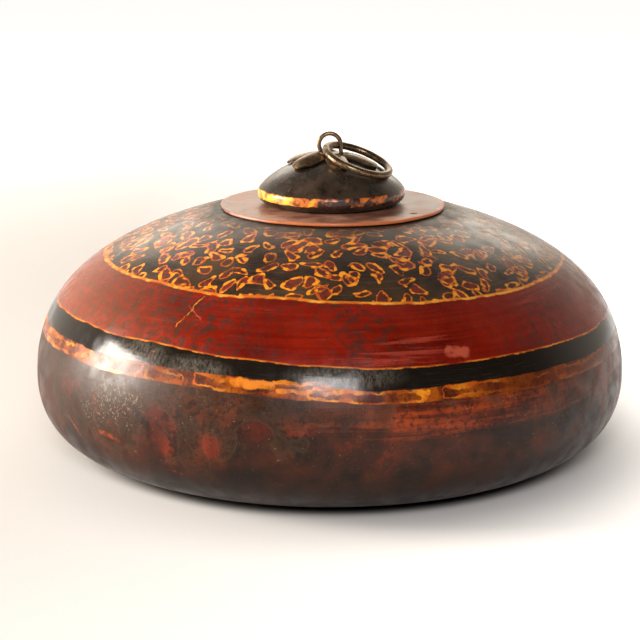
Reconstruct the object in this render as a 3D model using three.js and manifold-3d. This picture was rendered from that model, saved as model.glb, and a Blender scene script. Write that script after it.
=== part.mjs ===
// Round box of turned and lacquered wood: a bowl, a domed lid that drops over the bowl's lip,
// and on the lid a hide collar, a wooden knob, an iron rosette, a staple and a pull ring.
// Millimetres, +Z up. The origin is the centre of the foot, on the surface the box stands on.
import * as THREE from "three";
import { mergeVertices } from "three/addons/utils/BufferGeometryUtils.js";
import Module from "manifold-3d";

const wasm = await Module();
wasm.setup();

// Outer form, shared by the bowl and the lid
const BODY_RADIUS = 152.5; // the belly, at its widest
const BELLY_HEIGHT = 41; // height of the widest point
const FOOT_RADIUS = 97; // flat foot that the box stands on
const FOOT_SWEEP = 34; // how far the underside runs out flat before it turns up
const BELLY_DROP = 28; // how far the belly stays upright below its widest point
const BELLY_RISE = 48; // and above it
const CROWN_HEIGHT = 125; // flat seat turned on the top of the lid
const SEAT_RADIUS = 58.6; // edge of that seat
const CROWN_SWEEP = 56; // how far the crown runs out from the seat before it turns down
const CROWN_SLOPE = 0.265; // fall of the crown where it leaves the seat

// Walls and the joint between lid and bowl
const WALL = 9; // wall of bowl and lid at the belly
const FLOOR = 11; // floor of the bowl
const CEILING = 9; // wood left under the seat of the lid
const SEAM_HEIGHT = 59.6; // height of the joint, just under the orange band
const SEAM_GAP = 0.3; // clearance between the lid's edge and the bowl's shoulder
const LIP_HEIGHT = 7; // inner lip of the bowl that the lid drops over
const LIP_THICKNESS = 4.5;
const LIP_CLEARANCE = 0.4; // all round the lip, so that the lid lifts off freely
const LIP_CHAMFER = 0.8;

// Collar, knob, rosette, staple and rove sit a little off the lid's axis, towards +X
const FITTINGS_OFFSET = 0.9;

// Collar of thick hide between the lid and the knob
const COLLAR_RADIUS = 57.9;
const COLLAR_THICKNESS = 1.5;
const COLLAR_EDGE = 0.35; // rounding of its cut edge
// The collar was cut by hand, so its edge wavers: waves round it, height in mm, turn in degrees
const COLLAR_WAVES = [[1, 0.6, 140], [2, 0.5, 170], [3, 0.25, 25], [5, 0.24, 70], [11, 0.13, 10]];
const NAIL_HOLE_RADIUS = 1.8; // empty nail hole near the collar's edge
const NAIL_HOLE_FROM_AXIS = 51.5;
const NAIL_HOLE_BEARING = -36.5; // degrees

// Knob
const KNOB_RADIUS = 37.9; // at the painted band
const KNOB_FOOT_RADIUS = 30;
const KNOB_UNDERCUT = 5.2; // height of the rounded underside
const KNOB_BAND = 1.8; // upright stretch of the painted band
const KNOB_DOME = 17.5; // height of the dome above the band
const KNOB_SHOULDER = 2.5; // upright handle of the dome's outline
const KNOB_CROWN = 23.3; // flat handle of the dome's outline

// Rosette of sheet iron on the dome of the knob
const SHEET = 1.1;
const PETAL_LENGTH = 23; // from the middle of the rosette to a petal's tip
const PETAL_HALF_WIDTH = 5.5;
const PETAL_CROWN = 2; // how far the middle of a petal is raised off the dome
// Six petals, cut by hand: bearing in degrees, then length, width and crown as shares of those sizes
const PETALS = [
  [-18, 1.04, 0.87, 0.6],
  [-79, 0.96, 0.92, 0.4],
  [-142, 0.99, 1.15, 1.3],
  [163, 1.01, 1.05, 0.75],
  [102, 1, 1, 1.1],
  [42, 1, 0.92, 0.25],
];
const TIP_SHARES = [0.25, 0.5, 0.75, 1]; // where the outline is sampled round a petal's tip
const GAP_SHARES = [0.25, 0.5, 0.75]; // and in the notch between two petals

// Staple whose two legs go down through knob, collar and lid and are bent over underneath
const STAPLE_WIRE = 1.1; // radius
const STAPLE_HALF_WIDTH = 5; // middle of the staple to the middle of a leg
const EYE_RADIUS = 5.6; // round eye above the knob, to the middle of the wire
const STAPLE_TOP = 12.6; // top of the eye above the dome of the knob
const LEG_CLEARANCE = 0.3;
const CLINCH_BEND = 1.7; // bend radius of the legs under the lid
const CLINCH_LENGTH = 9;

// Iron rove that spreads the pull of the clinched legs under the lid
const ROVE_RADIUS = 12;
const ROVE_THICKNESS = 1.2;

// Pull ring
const RING_RADIUS = 17.1; // to the middle of the wire
const RING_WIRE = 1.9; // radius
const RING_BELOW_EYE = 6.3; // middle of its wire below the wire at the top of the eye
const RING_BEARING = -26; // degrees, the side to which the ring lies
const RING_DROOP = 22; // degrees below level

const SEATING = 0.2; // air between pieces that sit on each other

// Facets round each piece
const SIDES = 64; // bowl and lid
const COLLAR_SIDES = 72;
const KNOB_SIDES = 52;
const ROVE_SIDES = 32;
const HOLE_SIDES = 12;
const WIRE_SIDES = 8; // section of the staple
const STAPLE_STEPS = 72; // along its wire
const RING_SIDES = 10; // section of the ring
const RING_STEPS = 48; // round the ring
const ROSETTE_RINGS = 6; // from its middle to a petal's tip

const point = (x, y) => new THREE.Vector2(x, y);

// A lathe profile, given as radius and height, spun round Z
function turned(profile, sides) {
  return new THREE.LatheGeometry(profile, sides).rotateX(Math.PI / 2);
}

// A closed geometry as a solid that can be cut
function solidOf(geometry) {
  const bare = geometry.clone();
  bare.deleteAttribute("normal");
  bare.deleteAttribute("uv");
  const merged = mergeVertices(bare, 1e-4);
  return new wasm.Manifold(new wasm.Mesh({
    numProp: 3,
    vertProperties: Float32Array.from(merged.attributes.position.array),
    triVerts: Uint32Array.from(merged.index.array),
  }));
}

function geometryOf(solid) {
  const mesh = solid.getMesh();
  const geometry = new THREE.BufferGeometry();
  geometry.setAttribute("position", new THREE.BufferAttribute(mesh.vertProperties, 3));
  geometry.setIndex(new THREE.BufferAttribute(mesh.triVerts, 1));
  geometry.computeVertexNormals();
  return geometry;
}

// Where a curve that only rises or falls along one axis reaches a value, by halving
function parameterAt(curve, axis, value) {
  let low = 0;
  let high = 1;
  const rising = curve.getPoint(1)[axis] > curve.getPoint(0)[axis];
  for (let step = 0; step < 40; step += 1) {
    const middle = (low + high) / 2;
    if ((curve.getPoint(middle)[axis] < value) === rising) low = middle;
    else high = middle;
  }
  return (low + high) / 2;
}

function stretch(curve, from, to, count) {
  return Array.from({ length: count + 1 }, (_, i) => curve.getPoint(from + ((to - from) * i) / count));
}

// Outline of the whole box: underside and belly, then shoulder and crown. radius and height squeeze
// the same curves into the hollow, so that inner and outer faces run alike.
function undersideCurve(belly, floor) {
  const sweep = (FOOT_SWEEP * (belly - FOOT_RADIUS)) / (BODY_RADIUS - FOOT_RADIUS);
  const drop = (BELLY_DROP * (BELLY_HEIGHT - floor)) / BELLY_HEIGHT;
  return new THREE.CubicBezierCurve(
    point(FOOT_RADIUS, floor),
    point(FOOT_RADIUS + sweep, floor),
    point(belly, BELLY_HEIGHT - drop),
    point(belly, BELLY_HEIGHT),
  );
}

function shoulderCurve(belly, crown) {
  const sweep = (CROWN_SWEEP * (belly - SEAT_RADIUS)) / (BODY_RADIUS - SEAT_RADIUS);
  const squeeze = (crown - BELLY_HEIGHT) / (CROWN_HEIGHT - BELLY_HEIGHT);
  return new THREE.CubicBezierCurve(
    point(belly, BELLY_HEIGHT),
    point(belly, BELLY_HEIGHT + BELLY_RISE * squeeze),
    point(SEAT_RADIUS + sweep, crown - CROWN_SWEEP * CROWN_SLOPE * squeeze),
    point(SEAT_RADIUS, crown),
  );
}

const outerUnderside = undersideCurve(BODY_RADIUS, 0);
const outerShoulder = shoulderCurve(BODY_RADIUS, CROWN_HEIGHT);
const innerUnderside = undersideCurve(BODY_RADIUS - WALL, FLOOR);
const innerShoulder = shoulderCurve(BODY_RADIUS - WALL, CROWN_HEIGHT - CEILING);

const radiusAt = (curve, height) => curve.getPoint(parameterAt(curve, "y", height)).x;
const lipInner = radiusAt(innerShoulder, SEAM_HEIGHT);
const lipOuter = lipInner + LIP_THICKNESS;
const lipTop = SEAM_HEIGHT + LIP_HEIGHT;

function makeBowl() {
  const profile = [
    point(0, 0),
    ...stretch(outerUnderside, 0, 1, 9),
    ...stretch(outerShoulder, 0, parameterAt(outerShoulder, "y", SEAM_HEIGHT), 3).slice(1),
    point(lipOuter, SEAM_HEIGHT),
    point(lipOuter, lipTop - LIP_CHAMFER),
    point(lipOuter - LIP_CHAMFER, lipTop),
    point(lipInner, lipTop),
    ...stretch(innerShoulder, parameterAt(innerShoulder, "y", SEAM_HEIGHT), 0, 3),
    ...stretch(innerUnderside, 1, 0, 8).slice(1),
    point(0, FLOOR),
  ];
  return turned(profile, SIDES);
}

// Holes for the staple's legs: the same pair is drilled through every piece on its way
function drillForLegs(geometry, middle = 0) {
  let solid = solidOf(geometry);
  const drill = new THREE.CylinderGeometry(
    STAPLE_WIRE + LEG_CLEARANCE, STAPLE_WIRE + LEG_CLEARANCE, CROWN_HEIGHT, HOLE_SIDES,
  ).rotateX(Math.PI / 2);
  for (const side of [-1, 1]) {
    const leg = drill.clone().translate(middle + side * STAPLE_HALF_WIDTH, 0, CROWN_HEIGHT);
    solid = solid.subtract(solidOf(leg));
  }
  return geometryOf(solid);
}

function makeLid() {
  const edge = SEAM_HEIGHT + SEAM_GAP;
  const shoulder = lipTop + SEAM_GAP + LIP_CLEARANCE;
  const rebate = lipOuter + LIP_CLEARANCE;
  const profile = [
    point(0, CROWN_HEIGHT - CEILING),
    ...stretch(innerShoulder, 1, parameterAt(innerShoulder, "y", shoulder), 10),
    point(rebate, shoulder),
    point(rebate, edge),
    ...stretch(outerShoulder, parameterAt(outerShoulder, "y", edge), 1, 13),
    point(0, CROWN_HEIGHT),
  ];
  return drillForLegs(turned(profile, SIDES), FITTINGS_OFFSET);
}

const collarBase = CROWN_HEIGHT + SEATING;
const knobBase = collarBase + COLLAR_THICKNESS + SEATING;
const knobBandBase = knobBase + KNOB_UNDERCUT;
const knobTop = knobBandBase + KNOB_BAND + KNOB_DOME;

function collarRadius(angle) {
  const waves = COLLAR_WAVES.map(([count, height, turn]) =>
    height * Math.sin(count * angle + THREE.MathUtils.degToRad(turn)));
  return COLLAR_RADIUS + waves.reduce((sum, wave) => sum + wave, 0);
}

function makeCollar() {
  const outline = new THREE.Shape();
  const points = Array.from({ length: COLLAR_SIDES }, (_, i) => {
    const angle = (i / COLLAR_SIDES) * 2 * Math.PI;
    return point(collarRadius(angle) * Math.cos(angle), collarRadius(angle) * Math.sin(angle));
  });
  outline.setFromPoints(points);
  const nailHole = new THREE.Path();
  const bearing = THREE.MathUtils.degToRad(NAIL_HOLE_BEARING);
  nailHole.absarc(
    NAIL_HOLE_FROM_AXIS * Math.cos(bearing), NAIL_HOLE_FROM_AXIS * Math.sin(bearing),
    NAIL_HOLE_RADIUS, 0, 2 * Math.PI, true,
  );
  outline.holes.push(nailHole);
  const sheet = new THREE.ExtrudeGeometry(outline, {
    depth: COLLAR_THICKNESS - 2 * COLLAR_EDGE,
    bevelThickness: COLLAR_EDGE,
    bevelSize: COLLAR_EDGE,
    bevelOffset: -COLLAR_EDGE,
    bevelSegments: 2,
    curveSegments: 6,
  });
  return drillForLegs(sheet.translate(0, 0, collarBase + COLLAR_EDGE));
}

const domeCurve = new THREE.CubicBezierCurve(
  point(KNOB_RADIUS, knobBandBase + KNOB_BAND),
  point(KNOB_RADIUS, knobBandBase + KNOB_BAND + KNOB_SHOULDER),
  point(KNOB_CROWN, knobTop),
  point(0, knobTop),
);

function makeKnob() {
  const undercut = new THREE.QuadraticBezierCurve(
    point(KNOB_FOOT_RADIUS, knobBase),
    point(KNOB_RADIUS, knobBase + KNOB_UNDERCUT / 3),
    point(KNOB_RADIUS, knobBandBase),
  );
  const profile = [point(0, knobBase), ...stretch(undercut, 0, 1, 5), ...stretch(domeCurve, 0, 1, 10)];
  return drillForLegs(turned(profile, KNOB_SIDES));
}

const domeHeight = (radius) => domeCurve.getPoint(parameterAt(domeCurve, "x", radius)).y;

const petals = PETALS.map(([bearing, length, width, crown]) => {
  const halfWidth = width * PETAL_HALF_WIDTH;
  const tipCentre = length * PETAL_LENGTH - halfWidth; // of the round tip, from the rosette's middle
  return {
    bearing: THREE.MathUtils.degToRad(bearing),
    halfWidth,
    tipCentre,
    tipAngle: Math.atan(halfWidth / tipCentre), // half the bearings that the tip takes
    crown: crown * PETAL_CROWN,
  };
});

// Reach of one petal at a bearing: its sides are parallel and its tip is round
function petalReach(petal, angle) {
  const turn = Math.abs(Math.asin(Math.sin(angle - petal.bearing)));
  if (Math.cos(angle - petal.bearing) <= 0) return 0;
  if (turn >= petal.tipAngle) return petal.halfWidth / Math.sin(turn);
  const across = petal.tipCentre * Math.sin(turn);
  return petal.tipCentre * Math.cos(turn) + Math.sqrt(petal.halfWidth ** 2 - across ** 2);
}

const rosetteReach = (angle) => Math.max(...petals.map((petal) => petalReach(petal, angle)));

// Bearings of the rosette's outline: close together round each tip, wider apart between petals
function rosetteBearings() {
  const bearings = [];
  const sorted = [...petals].sort((a, b) => a.bearing - b.bearing);
  sorted.forEach((petal, i) => {
    const next = sorted[(i + 1) % sorted.length];
    const nextBearing = next.bearing + (next.bearing > petal.bearing ? 0 : 2 * Math.PI);
    const gapStart = petal.bearing + petal.tipAngle;
    const gapEnd = nextBearing - next.tipAngle;
    bearings.push(petal.bearing, ...TIP_SHARES.map((share) => petal.bearing + share * petal.tipAngle));
    bearings.push(...GAP_SHARES.map((share) => gapStart + share * (gapEnd - gapStart)));
    bearings.push(...TIP_SHARES.map((share) => nextBearing - share * next.tipAngle).reverse());
  });
  return bearings;
}

// A petal is hammered hollow from below, so its middle stands off the dome and its edge lies on it
function petalCrown(radius, angle) {
  const crowns = petals.map(({ bearing, halfWidth, tipCentre, crown }) => {
    const turn = angle - bearing;
    if (Math.cos(turn) <= 0) return 0;
    const across = (radius * Math.sin(turn)) / halfWidth;
    const past = Math.max(0, radius * Math.cos(turn) - tipCentre) / halfWidth;
    return crown * Math.max(0, 1 - across ** 2 - past ** 4);
  });
  const start = STAPLE_HALF_WIDTH + STAPLE_WIRE;
  return Math.max(...crowns) * THREE.MathUtils.smoothstep(radius, start, 1.6 * start);
}

function makeRosette() {
  const bearings = rosetteBearings();
  const positions = [];
  const base = domeHeight(0) + SEATING;
  positions.push(0, 0, base, 0, 0, base + SHEET);
  for (const angle of bearings) {
    for (let ring = 1; ring <= ROSETTE_RINGS; ring += 1) {
      const radius = (rosetteReach(angle) * ring) / ROSETTE_RINGS;
      const height = domeHeight(radius) + SEATING + petalCrown(radius, angle);
      for (const lift of [0, SHEET]) {
        positions.push(radius * Math.cos(angle), radius * Math.sin(angle), height + lift);
      }
    }
  }
  const at = (column, ring, side) =>
    2 + ((column % bearings.length) * ROSETTE_RINGS + ring - 1) * 2 + side;
  const faces = [];
  bearings.forEach((_, column) => {
    const next = column + 1;
    faces.push(1, at(column, 1, 1), at(next, 1, 1), 0, at(next, 1, 0), at(column, 1, 0));
    for (let ring = 1; ring < ROSETTE_RINGS; ring += 1) {
      const outer = ring + 1;
      faces.push(at(column, ring, 1), at(column, outer, 1), at(next, outer, 1));
      faces.push(at(column, ring, 1), at(next, outer, 1), at(next, ring, 1));
      faces.push(at(column, ring, 0), at(next, outer, 0), at(column, outer, 0));
      faces.push(at(column, ring, 0), at(next, ring, 0), at(next, outer, 0));
    }
    faces.push(at(column, ROSETTE_RINGS, 0), at(next, ROSETTE_RINGS, 0), at(next, ROSETTE_RINGS, 1));
    faces.push(at(column, ROSETTE_RINGS, 0), at(next, ROSETTE_RINGS, 1), at(column, ROSETTE_RINGS, 1));
  });
  const geometry = new THREE.BufferGeometry();
  geometry.setAttribute("position", new THREE.Float32BufferAttribute(positions, 3));
  geometry.setIndex(faces);
  return drillForLegs(geometry);
}

const eyeTop = knobTop + STAPLE_TOP - STAPLE_WIRE; // middle of the wire
const roveTop = CROWN_HEIGHT - CEILING - SEATING;
const roveBase = roveTop - ROVE_THICKNESS;

// Middle line of one leg, from its clinched end up into the eye. The eye stands on the lid's axis,
// so it leans back by as much as the legs are off it.
function staplePath(side) {
  const bendTop = roveBase - SEATING;
  const clinchHeight = bendTop - CLINCH_BEND;
  const leg = side * STAPLE_HALF_WIDTH;
  const bendCentre = leg + side * CLINCH_BEND;
  const place = (x, z) => new THREE.Vector3(x, 0, z);
  const path = [place(bendCentre + side * CLINCH_LENGTH, clinchHeight)];
  path.push(place(bendCentre + side * CLINCH_BEND, clinchHeight));
  for (let i = 0; i <= 4; i += 1) {
    const angle = (Math.PI / 2) * (1 + i / 4);
    path.push(place(
      bendCentre + side * CLINCH_BEND * Math.cos(angle),
      bendTop - CLINCH_BEND * Math.sin(angle),
    ));
  }
  path.push(place(leg, CROWN_HEIGHT), place(leg, knobTop));
  const reach = Math.min(1, Math.abs(leg + FITTINGS_OFFSET) / EYE_RADIUS);
  const leave = -Math.acos(reach);
  for (let i = 0; i < 8; i += 1) {
    const angle = leave + ((Math.PI / 2 - leave) * (i + 0.5)) / 8;
    path.push(place(
      side * EYE_RADIUS * Math.cos(angle) - FITTINGS_OFFSET,
      eyeTop - EYE_RADIUS + EYE_RADIUS * Math.sin(angle),
    ));
  }
  return path;
}

function makeStaple() {
  const section = new THREE.Shape();
  section.setFromPoints(Array.from({ length: WIRE_SIDES }, (_, i) => {
    const angle = ((i + 0.5) / WIRE_SIDES) * 2 * Math.PI;
    return point(STAPLE_WIRE * Math.cos(angle), STAPLE_WIRE * Math.sin(angle));
  }));
  const places = [...staplePath(1), ...staplePath(-1).reverse()];
  const path = new THREE.CatmullRomCurve3(places, false, "centripetal");
  return new THREE.ExtrudeGeometry(section, { steps: STAPLE_STEPS, extrudePath: path });
}

function makeRove() {
  const disc = new THREE.CylinderGeometry(ROVE_RADIUS, ROVE_RADIUS, ROVE_THICKNESS, ROVE_SIDES);
  return drillForLegs(disc.rotateX(Math.PI / 2).translate(0, 0, roveBase + ROVE_THICKNESS / 2));
}

// Colours and gloss of the materials, as the box shows them
const lacquer = new THREE.MeshStandardMaterial({ color: 0x6b1d16, roughness: 0.3, metalness: 0 });
const dullLacquer = new THREE.MeshStandardMaterial({ color: 0x43291f, roughness: 0.5, metalness: 0 });
const blackLacquer = new THREE.MeshStandardMaterial({ color: 0x3b322c, roughness: 0.35, metalness: 0 });
const hide = new THREE.MeshStandardMaterial({ color: 0x7a5548, roughness: 0.75, metalness: 0 });
const iron = new THREE.MeshStandardMaterial({ color: 0x6b5a48, roughness: 0.55, metalness: 0.8 });

const box = new THREE.Group();
const fittings = new THREE.Group();
fittings.position.x = FITTINGS_OFFSET;
box.add(fittings);

function add(name, geometry, material, parent) {
  const mesh = new THREE.Mesh(geometry, material);
  mesh.name = name;
  parent.add(mesh);
}

add("bowl", makeBowl(), dullLacquer, box);
add("lid", makeLid(), lacquer, box);
add("collar_disc", makeCollar(), hide, fittings);
add("knob", makeKnob(), blackLacquer, fittings);
add("rosette", makeRosette(), iron, fittings);
add("staple", makeStaple(), iron, fittings);
add("rove", makeRove(), iron, fittings);

// The ring turns about the level line of its own wire where it passes through the staple
const ringHinge = new THREE.Group();
ringHinge.position.set(0, 0, eyeTop - RING_BELOW_EYE);
ringHinge.rotation.order = "ZYX";
ringHinge.rotation.y = THREE.MathUtils.degToRad(RING_DROOP);
ringHinge.rotation.z = THREE.MathUtils.degToRad(RING_BEARING);
const ringGeometry = new THREE.TorusGeometry(RING_RADIUS, RING_WIRE, RING_SIDES, RING_STEPS);
add("pull_ring", ringGeometry.translate(RING_RADIUS, 0, 0), iron, ringHinge);
box.add(ringHinge);

export default box;
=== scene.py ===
# %% [markdown]
# # A round box of turned wood, lacquered in bands
# The real box is two shells of wood turned on a lathe: a bowl, and a domed lid that drops over the
# bowl's lip. Sticks of coloured lac were pressed against the spinning wood, so every band is a
# ring, and loops were drawn on the crown by hand. A disc of thick hide, a turned knob, an iron
# rosette, a staple and a ring finish the top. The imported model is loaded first, because it fixes
# where every piece sits and how it moves.

# %% Load the frame
import math
import bmesh
import bpy
from mathutils import Matrix, Vector


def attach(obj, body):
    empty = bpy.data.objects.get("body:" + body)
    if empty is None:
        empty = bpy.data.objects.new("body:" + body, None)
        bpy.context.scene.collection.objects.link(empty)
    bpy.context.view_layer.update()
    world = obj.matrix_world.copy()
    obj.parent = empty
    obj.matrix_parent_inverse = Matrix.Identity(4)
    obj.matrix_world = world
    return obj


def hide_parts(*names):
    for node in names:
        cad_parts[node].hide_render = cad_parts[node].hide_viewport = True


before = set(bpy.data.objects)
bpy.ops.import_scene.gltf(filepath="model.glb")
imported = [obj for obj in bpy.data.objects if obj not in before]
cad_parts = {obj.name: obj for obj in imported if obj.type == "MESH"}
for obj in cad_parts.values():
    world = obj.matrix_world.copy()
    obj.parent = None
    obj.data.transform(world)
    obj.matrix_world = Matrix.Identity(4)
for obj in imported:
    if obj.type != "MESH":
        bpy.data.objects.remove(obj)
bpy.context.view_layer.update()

MM = 0.001

# %% [markdown]
# ## Small helpers
# Colours are picked as the hex values that a screen shows, and Blender mixes light in linear
# values, so one function turns one into the other. A material is a tree of nodes. It could be
# wired by hand in the editor, but written out it can be read and changed in one place: one
# function adds a node, sets its options and wires its inputs. The nodes that come up again and
# again have a short name. A noise's scale is the number of its cells to a metre, so the comment
# behind it says how wide one cell is on the box.

# %% Colour, node and object helpers
def colour(hex_value, alpha=1.0):
    parts = [int(hex_value[i:i + 2], 16) / 255 for i in (1, 3, 5)]
    linear = [p / 12.92 if p <= 0.04045 else ((p + 0.055) / 1.055) ** 2.4 for p in parts]
    return (*linear, alpha)


# Nodes that come up again and again: the type and its settings
NOISE = ("ShaderNodeTexNoise", {})  # vector, scale, detail, roughness
FADE = ("ShaderNodeMapRange", {"interpolation_type": "SMOOTHSTEP"})  # from 0 to 1 between two values
MIX = ("ShaderNodeMix", {"data_type": "RGBA"})  # share of the second colour, first, second
PLUS = ("ShaderNodeMath", {"operation": "ADD"})
MINUS = ("ShaderNodeMath", {"operation": "SUBTRACT"})
TIMES = ("ShaderNodeMath", {"operation": "MULTIPLY"})
TIMES_PLUS = ("ShaderNodeMath", {"operation": "MULTIPLY_ADD"})  # first times second, plus third
DIVIDED = ("ShaderNodeMath", {"operation": "DIVIDE"})
ABSOLUTE = ("ShaderNodeMath", {"operation": "ABSOLUTE"})
MAXIMUM = ("ShaderNodeMath", {"operation": "MAXIMUM"})
VECTOR_PLUS = ("ShaderNodeVectorMath", {"operation": "ADD"})
VECTOR_TIMES = ("ShaderNodeVectorMath", {"operation": "MULTIPLY"})
LENGTH = ("ShaderNodeVectorMath", {"operation": "LENGTH"})


def add(tree, kind, *values, **settings):
    """Adds a node. Values go into its open inputs in order, and a dict names the inputs for the rest.

    A value is a number, a colour, an output, or a node, which stands for its first open output.
    """
    kind, usual_settings = (kind, {}) if isinstance(kind, str) else kind
    node = tree.nodes.new(kind)
    for name, setting in {**usual_settings, **settings}.items():
        setattr(node, name, setting)
    open_inputs = [socket for socket in node.inputs if socket.enabled]
    given = list(zip(open_inputs, [value for value in values if not isinstance(value, dict)]))
    for named in [value for value in values if isinstance(value, dict)]:
        given += [(node.inputs[name], value) for name, value in named.items()]
    for socket, value in given:
        if isinstance(value, bpy.types.Node):
            value = next(output for output in value.outputs if output.enabled)
        if isinstance(value, bpy.types.NodeSocket):
            tree.links.new(value, socket)
        else:
            socket.default_value = value
    return node


def material(name):
    made = bpy.data.materials.new(name)
    made.use_nodes = True
    tree = made.node_tree
    tree.nodes.clear()
    return made, tree


def finish_material(tree, sockets):
    """Ends a tree in a Principled shader with these sockets."""
    shader = add(tree, "ShaderNodeBsdfPrincipled", sockets)
    add(tree, "ShaderNodeOutputMaterial", shader)


def new_object(name, mesh, *materials):
    made = bpy.data.objects.new(name, mesh)
    bpy.context.scene.collection.objects.link(made)
    for one in materials:
        mesh.materials.append(one)
    return made


print("a middle grey is %.3f in linear light" % colour("#808080")[0])

# %% [markdown]
# ## Camera, lights and floor
# The photograph was taken from a little above, with a long lens, in a white light tent. The
# camera's place was fitted to the box's outline. Two soft lights show in the gloss: the lit wall
# at the left, which gives the white patch on the black band, and a cooler one over the camera,
# which gives the soft glow in the middle of it. Two weak ones lift the left side and the back of
# the crown. The tent is open to the dark room on the camera's side, so the world is white behind
# the box and dark in front and overhead: that keeps the front of the lacquer deep and lets its
# edges go pale. A picture of a tent could light it too, but this one can be turned and dimmed.

# %% Camera
CAMERA_PLACE = (-5.0 * MM, -1.0, 303.1 * MM)
CAMERA_PITCH = 13.449  # degrees below level
LENS = 110.27  # millimetres, on a sensor 36 wide
FRAME_PIXELS = 640

camera_data = bpy.data.cameras.new("camera")
camera_data.lens = LENS
camera_data.sensor_width = 36.0
camera_data.shift_y = 1 / FRAME_PIXELS
camera_data.clip_start = 0.05
camera = bpy.data.objects.new("camera", camera_data)
camera.location = CAMERA_PLACE
camera.rotation_euler = (math.radians(90 - CAMERA_PITCH), 0, 0)
bpy.context.scene.collection.objects.link(camera)
bpy.context.scene.camera = camera
bpy.context.scene.view_settings.view_transform = "Standard"

# %% Lights
def soft_light(name, place, aim, width, height, power, tint):
    data = bpy.data.lights.new(name, "AREA")
    data.shape = "RECTANGLE"
    data.size = width
    data.size_y = height
    data.energy = power
    data.color = colour(tint)[:3]
    light = bpy.data.objects.new(name, data)
    light.location = place
    light.rotation_euler = (Vector(aim) - Vector(place)).to_track_quat("-Z", "Y").to_euler()
    bpy.context.scene.collection.objects.link(light)


BOX_MIDDLE = (0, 0, 0.07)
soft_light("lit_left_wall", (-1.62, -0.01, 0.44), BOX_MIDDLE, 0.68, 0.66, 68, "#fff5ea")
soft_light("left_wall_glow", (-1.35, -0.9, 0.55), BOX_MIDDLE, 0.7, 0.6, 4, "#fff0dc")
soft_light("front_window", (0.0, -1.62, 0.9), BOX_MIDDLE, 0.6, 0.5, 25, "#f8f5f6")
soft_light("back_wall", (0.0, 1.9, 1.0), BOX_MIDDLE, 1.8, 1.0, 13, "#fff4e4")

print("lights:", [light.name for light in bpy.data.lights])

# %% Light tent
DARK_ROOM = 0.03
world = bpy.data.worlds.new("light_tent")
bpy.context.scene.world = world
world.use_nodes = True
sky = world.node_tree
sky.nodes.clear()
direction = add(sky, "ShaderNodeTexCoord")
axes = add(sky, "ShaderNodeSeparateXYZ", direction.outputs["Generated"])
tent = add(sky, FADE, axes.outputs["Y"], -0.2, 0.55, DARK_ROOM, 1.12)
open_top = add(sky, FADE, axes.outputs["Z"], 0.25, 0.8, 1.0, 0.3)
right_side = add(sky, FADE, axes.outputs["X"], 0.3, 0.8, 1.0, 0.75)
shaded = add(sky, TIMES, open_top, right_side)
tent = add(sky, TIMES, tent, shaded)
path = add(sky, "ShaderNodeLightPath")
strength = add(sky, "ShaderNodeMix", path.outputs["Is Camera Ray"], tent, 1.0)
hue = add(sky, MIX, path.outputs["Is Camera Ray"], colour("#fff1de"), colour("#fdfcfa"))
cloth = add(sky, "ShaderNodeBackground", {"Color": hue, "Strength": strength})
add(sky, "ShaderNodeOutputWorld", cloth)
print("the tent's tree has", len(sky.nodes), "nodes")

# %% [markdown]
# ## Floor
# The floor is a sweep of thin white paper. It is given a painted glow, which lifts the shade on it:
# hardly at the left, where the lit wall falls on it, more at the right, and far off it fades to the
# white of the tent. Near the box the glow stops, and under it the paper's colour is darkened: a
# painted shadow that makes the dark line of contact.

# %% Floor
FLOOR_REACH = 6.0
LIT_FROM, LIT_FULLY = 0.35, 1.5  # the paper fades to the white of the tent between these distances
floor_mesh = bpy.data.meshes.new("floor")
corners = [(-FLOOR_REACH, -FLOOR_REACH, 0), (FLOOR_REACH, -FLOOR_REACH, 0),
           (FLOOR_REACH, FLOOR_REACH, 0), (-FLOOR_REACH, FLOOR_REACH, 0)]
floor_mesh.from_pydata(corners, [], [(0, 1, 2, 3)])
# Thin white paper: matt, with a faint cloud of fibres, a painted contact shadow and a painted glow
paper, tree = material("white_paper_sweep")
where = add(tree, "ShaderNodeTexCoord").outputs["Object"]
from_box = add(tree, LENGTH, where)
fibres = add(tree, NOISE, {"Vector": where, "Scale": 900.0, "Detail": 3.0})
paper_and_painted_shadow = add(tree, MIX, fibres, colour("#d8d6d3"), colour("#d0cdca"))
# Painted contact shadow: the paper's colour turns almost black under the box's foot
under = add(tree, FADE, from_box, 0.114, 0.132)
paper_and_painted_shadow = add(tree, MIX, under, colour("#1c1611"), paper_and_painted_shadow)
# Painted glow: the paper gives off light, weak at the left, strong at the right and none near the box, to
# lift the shade on the floor
far = add(tree, FADE, from_box, LIT_FROM, LIT_FULLY)
outside_painted_shadow = add(tree, FADE, from_box, 0.12, 0.2)
across = add(tree, "ShaderNodeSeparateXYZ", where)
painted_glow_across = add(tree, "ShaderNodeMapRange", across.outputs["X"], -0.16, 0.25, 0.03, 0.96)
glow = add(tree, "ShaderNodeMapRange", far, 0, 1, painted_glow_across, 0.84)
glow = add(tree, TIMES, glow, outside_painted_shadow)
tint = add(tree, MIX, far, colour("#fdf8f2"), colour("#fcfbfb"))
finish_material(tree, {"Base Color": paper_and_painted_shadow, "Roughness": 0.9, "Specular IOR Level": 0.1,
                       "Emission Color": tint, "Emission Strength": glow})
floor = new_object("floor", floor_mesh, paper)
floor.location.z = -0.2 * MM
print("floor", FLOOR_REACH * 2, "m wide")

# %% [markdown]
# ## Outline of the turned wood
# A lathe leaves a body of revolution, so the whole outer form is one curve: flat foot, rounded
# belly, flat crown. It could be drawn by many points, but two cubic curves with named handles
# keep it smooth and easy to change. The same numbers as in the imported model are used, so that
# these fine shells fill its place exactly. The hollow is the same curve, squeezed inwards.

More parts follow.
